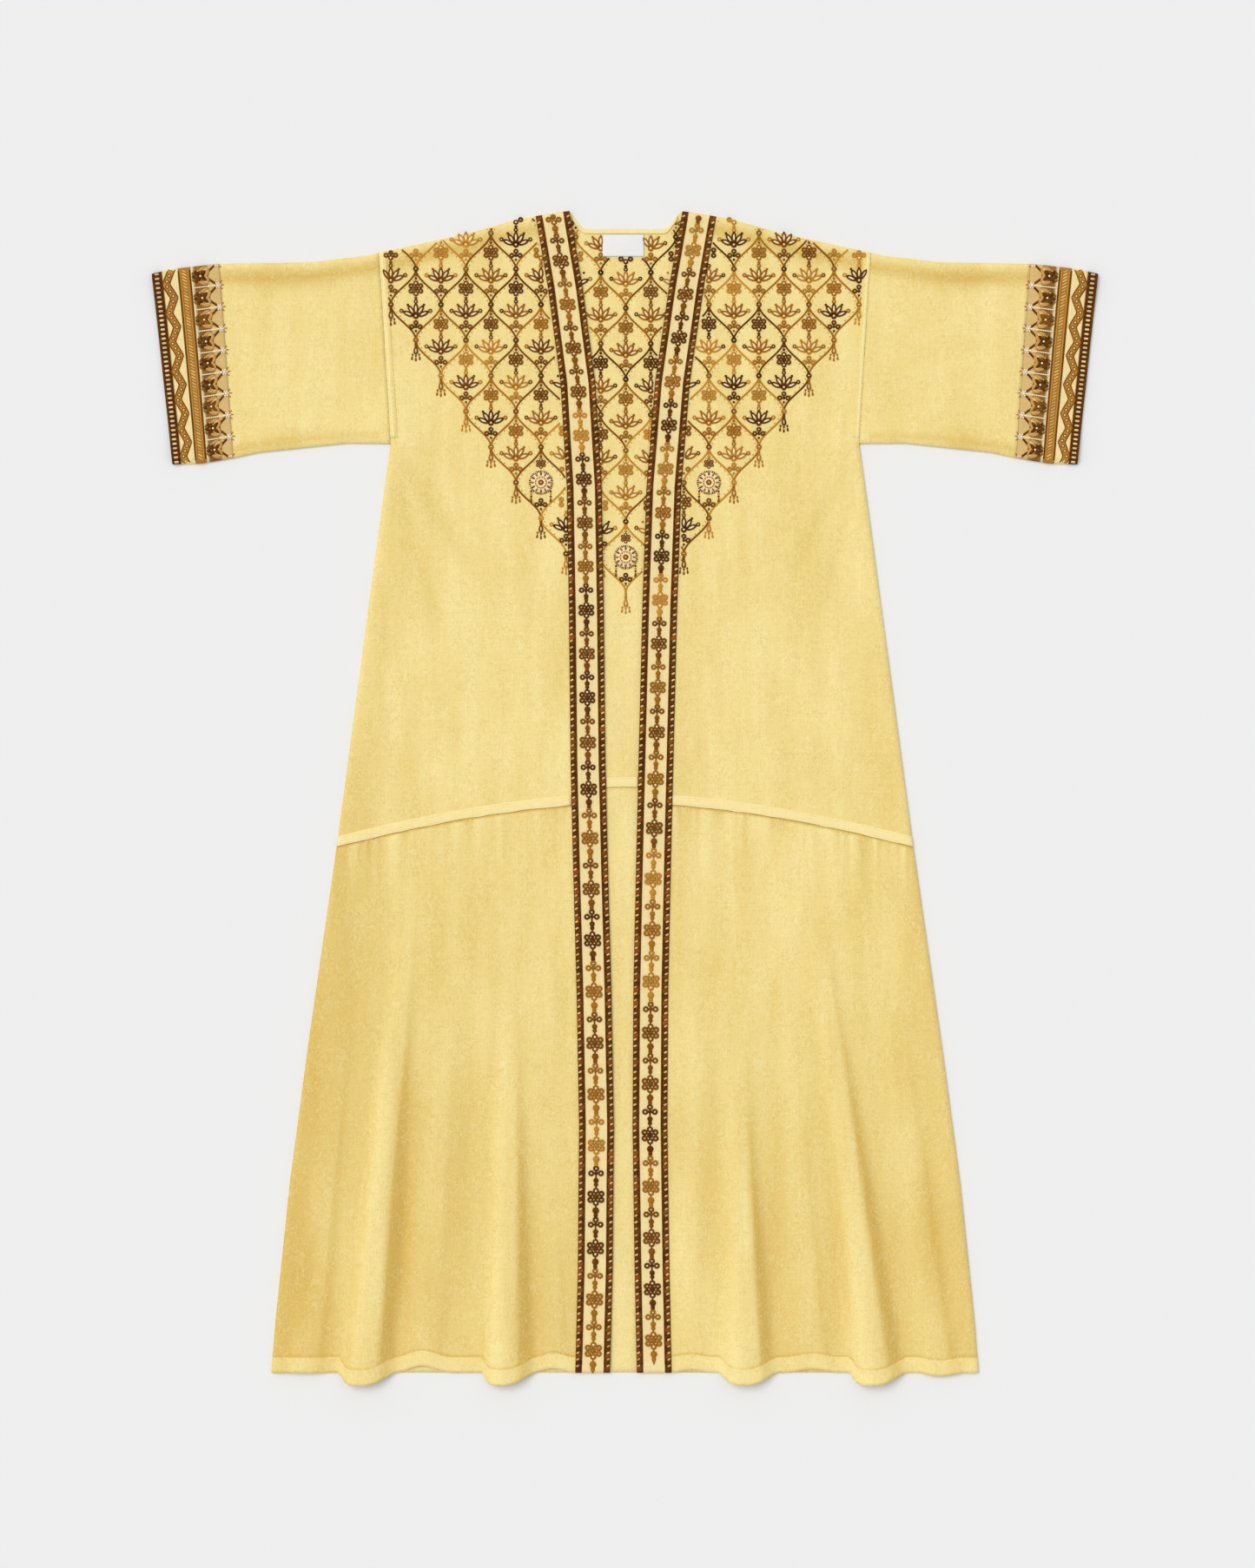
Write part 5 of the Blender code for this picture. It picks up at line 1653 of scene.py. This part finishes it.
def yoke_front(side):
    """The yoke's ornament on a front, between its band, its armhole tape and the shoulder."""

    def allowed(x, height):
        clear_of_band = x > band_inner(side, height) + BAND_WIDTH + 0.0015
        clear_of_seam = x < armhole_x(height) - ARMHOLE_TAPE_WIDTH + 0.002
        return clear_of_band & clear_of_seam & (shoulder_height(x) - height > 0.0012)

    return yoke(side, upper_top(side), allowed, MEDALLIONS[0], YOKE_REACH["front"])


def yoke_back():
    """The yoke's ornament inside the back, between the bands, below the neck and round the label."""

    def allowed(x, height):
        inner = np.where(x > 0, band_inner("left", height), band_inner("right", height))
        under_label = np.abs(x - LABEL_X) < LABEL_WIDTH / 2 + 0.001
        under_label &= height > LABEL_TOP - LABEL_DEPTH - 0.002
        below_neck = neck_height(x) - NECK_BINDING - 0.001 > height
        return (np.abs(x) < inner + 0.0005) & ~under_label & below_neck

    return yoke("back", back_top, allowed, MEDALLIONS[2], YOKE_REACH["back"])


def medallion(row, top):
    """A padded disc with a corded rim, a ring of petals, a ring of beads and a round heart."""
    work, here, size = Needlework(top), (row.x, row.height), MEDALLION_RADIUS
    work.put(PADDED_DISC, *here, size, CREAM)
    rim, ring = turns(36), turns(12)
    rim_browns, petal_browns = alternate(36, 4, GOLD, DARK), alternate(12, 2, CARAMEL, MID)
    work.put(STRAIGHT_BLOCK, *around(*here, size * 0.93, rim), 0.0013, rim_browns, rim, lift=0.0011)
    work.spray(WIDE_LEAF, *here, size * 0.73, ring, 0.0026, petal_browns, lift=0.0012, rise=1.2)
    work.put(THIN_RING, *here, size * 0.54, GOLD, lift=0.0013, rise=0.6)
    work.put(BEAD, *around(*here, size * 0.38, ring), 0.0010, CREAM, lift=0.0020, gloss=True)
    work.put(DISC, *here, size * 0.26, MID, lift=0.0020)
    work.put(BEAD, *here, size * 0.11, GOLD, lift=0.0026, gloss=True)
    return work.finish(row.name + "_embroidery", slot="medallion", replaces=row.name)


# Stage


def stage_floor():
    """One square of floor, which reaches far past the picture."""
    turned = ((-1, -1), (1, -1), (1, 1), (-1, 1))
    plane = bpy.data.meshes.new("studio_floor")
    plane.from_pydata([(x * FLOOR_HALF, y * FLOOR_HALF, FLOOR_Z) for x, y in turned], [], [(0, 1, 2, 3)])
    plane.materials.append(floor_material())
    return bpy.data.objects.new("studio_floor", plane)


def white_sky(strength):
    """Even white light from all round."""
    world = bpy.data.worlds.new("studio")
    world.use_nodes = True
    background = world.node_tree.nodes["Background"]
    background.inputs["Color"].default_value = (1.0, 1.0, 1.0, 1.0)
    background.inputs["Strength"].default_value = strength
    return world


def soft_lamp(strength):
    """A broad sun from the picture's upper left."""
    light = bpy.data.lights.new("lamp", "SUN")
    light.energy = strength
    light.angle = LAMP_SPREAD
    lamp = bpy.data.objects.new("lamp", light)
    lamp.rotation_euler = LAMP_WAY.to_track_quat("-Z", "Y").to_euler()
    return lamp


def camera_above(lens):
    """A camera straight above the photograph's middle, as high as the height of its frame asks."""
    camera = bpy.data.objects.new("camera", bpy.data.cameras.new("camera"))
    camera.data.lens = lens
    camera.data.sensor_width = SENSOR
    camera.data.clip_end = CAMERA_REACH
    camera.location = (PHOTO_CENTRE_X, PHOTO_CENTRE_Y, PHOTO_HEIGHT * lens / SENSOR)
    return camera


# Operators, one for each piece or group of like pieces


class ABAYA_OT_back(bpy.types.Operator):
    """Make the back's cloth, its hip tape, the neck binding and the label"""

    bl_idname = "abaya.back"
    bl_label = "Back and neck"

    def execute(self, context):
        bodice, skirt = back_bodice(), back_skirt()
        tape, tape_stitches = back_tape()
        binding, binding_stitches = neck_binding()
        neck_label()
        return {"FINISHED"}


class ABAYA_OT_fronts(bpy.types.Operator):
    """Make both fronts: bodice, skirt, tapes and hem"""

    bl_idname = "abaya.fronts"
    bl_label = "Fronts"

    def execute(self, context):
        for side in SIGN:
            bodice, skirt = front_bodice(side), front_skirt(side)
            tape, tape_stitches = hip_tape(side)
            armhole, armhole_stitches = armhole_tape(side)
            hem_stitches(side)
        return {"FINISHED"}


class ABAYA_OT_sleeves(bpy.types.Operator):
    """Make both sleeves and their ornamented cuffs"""

    bl_idname = "abaya.sleeves"
    bl_label = "Sleeves and cuffs"

    def execute(self, context):
        for side in SIGN:
            sleeve(side)
            cuff_cloth(side)
            cuff_embroidery(side)
        return {"FINISHED"}


class ABAYA_OT_bands(bpy.types.Operator):
    """Make both front bands with their rope edgings and flower chains"""

    bl_idname = "abaya.bands"
    bl_label = "Front bands"

    def execute(self, context):
        for side in SIGN:
            band = band_cloth(side)
            band_embroidery(side)
        return {"FINISHED"}


class ABAYA_OT_yoke(bpy.types.Operator):
    """Make the yoke's ogee trellis with its flowers, and the medallions"""

    bl_idname = "abaya.yoke"
    bl_label = "Yoke embroidery"

    def execute(self, context):
        for side in SIGN:
            yoke_front(side)
        yoke_back()
        tops = (upper_top("left"), lambda x, height: upper_top("right")(-x, height), back_top)
        for row, top in zip(MEDALLIONS, tops):
            medallion(row, top)
        return {"FINISHED"}


class ABAYA_OT_stage(bpy.types.Operator):
    """Make the floor, the soft lights and the camera straight above"""

    bl_idname = "abaya.stage"
    bl_label = "Floor, lights and camera"

    def execute(self, context):
        scene, stage = context.scene, context.scene.abaya_stage
        scene.view_settings.view_transform = "Standard"
        floor, lamp, camera = stage_floor(), soft_lamp(stage.sun), camera_above(stage.lens)
        for thing in (floor, lamp, camera):
            scene.collection.objects.link(thing)
        scene.world = white_sky(stage.sky)
        scene.camera = camera
        return {"FINISHED"}


class ABAYA_PT_panel(bpy.types.Panel):
    bl_label = "Abaya"
    bl_idname = "ABAYA_PT_panel"
    bl_space_type = "VIEW_3D"
    bl_region_type = "UI"
    bl_category = "Abaya"

    def draw(self, context):
        for operator in OPERATORS:
            self.layout.operator(operator.bl_idname)
        for settings in (context.scene.abaya_cloth, context.scene.abaya_thread, context.scene.abaya_stage):
            box = self.layout.box()
            for name in settings.__annotations__:
                box.prop(settings, name)


OPERATORS = (
    ABAYA_OT_back, ABAYA_OT_fronts, ABAYA_OT_sleeves, ABAYA_OT_bands, ABAYA_OT_yoke, ABAYA_OT_stage)
SETTINGS = {"abaya_cloth": ClothSettings, "abaya_thread": ThreadSettings, "abaya_stage": StageSettings}


def register():
    for name, settings in SETTINGS.items():
        bpy.utils.register_class(settings)
        setattr(bpy.types.Scene, name, bpy.props.PointerProperty(type=settings))
    for one in (*OPERATORS, ABAYA_PT_panel):
        bpy.utils.register_class(one)


def unregister():
    for one in (ABAYA_PT_panel, *reversed(OPERATORS)):
        bpy.utils.unregister_class(one)
    for name, settings in SETTINGS.items():
        delattr(bpy.types.Scene, name)
        bpy.utils.unregister_class(settings)


def main():
    register()
    bpy.ops.abaya.back()
    bpy.ops.abaya.fronts()
    bpy.ops.abaya.sleeves()
    bpy.ops.abaya.bands()
    bpy.ops.abaya.yoke()
    bpy.ops.abaya.stage()


if __name__ == "__main__":
    main()
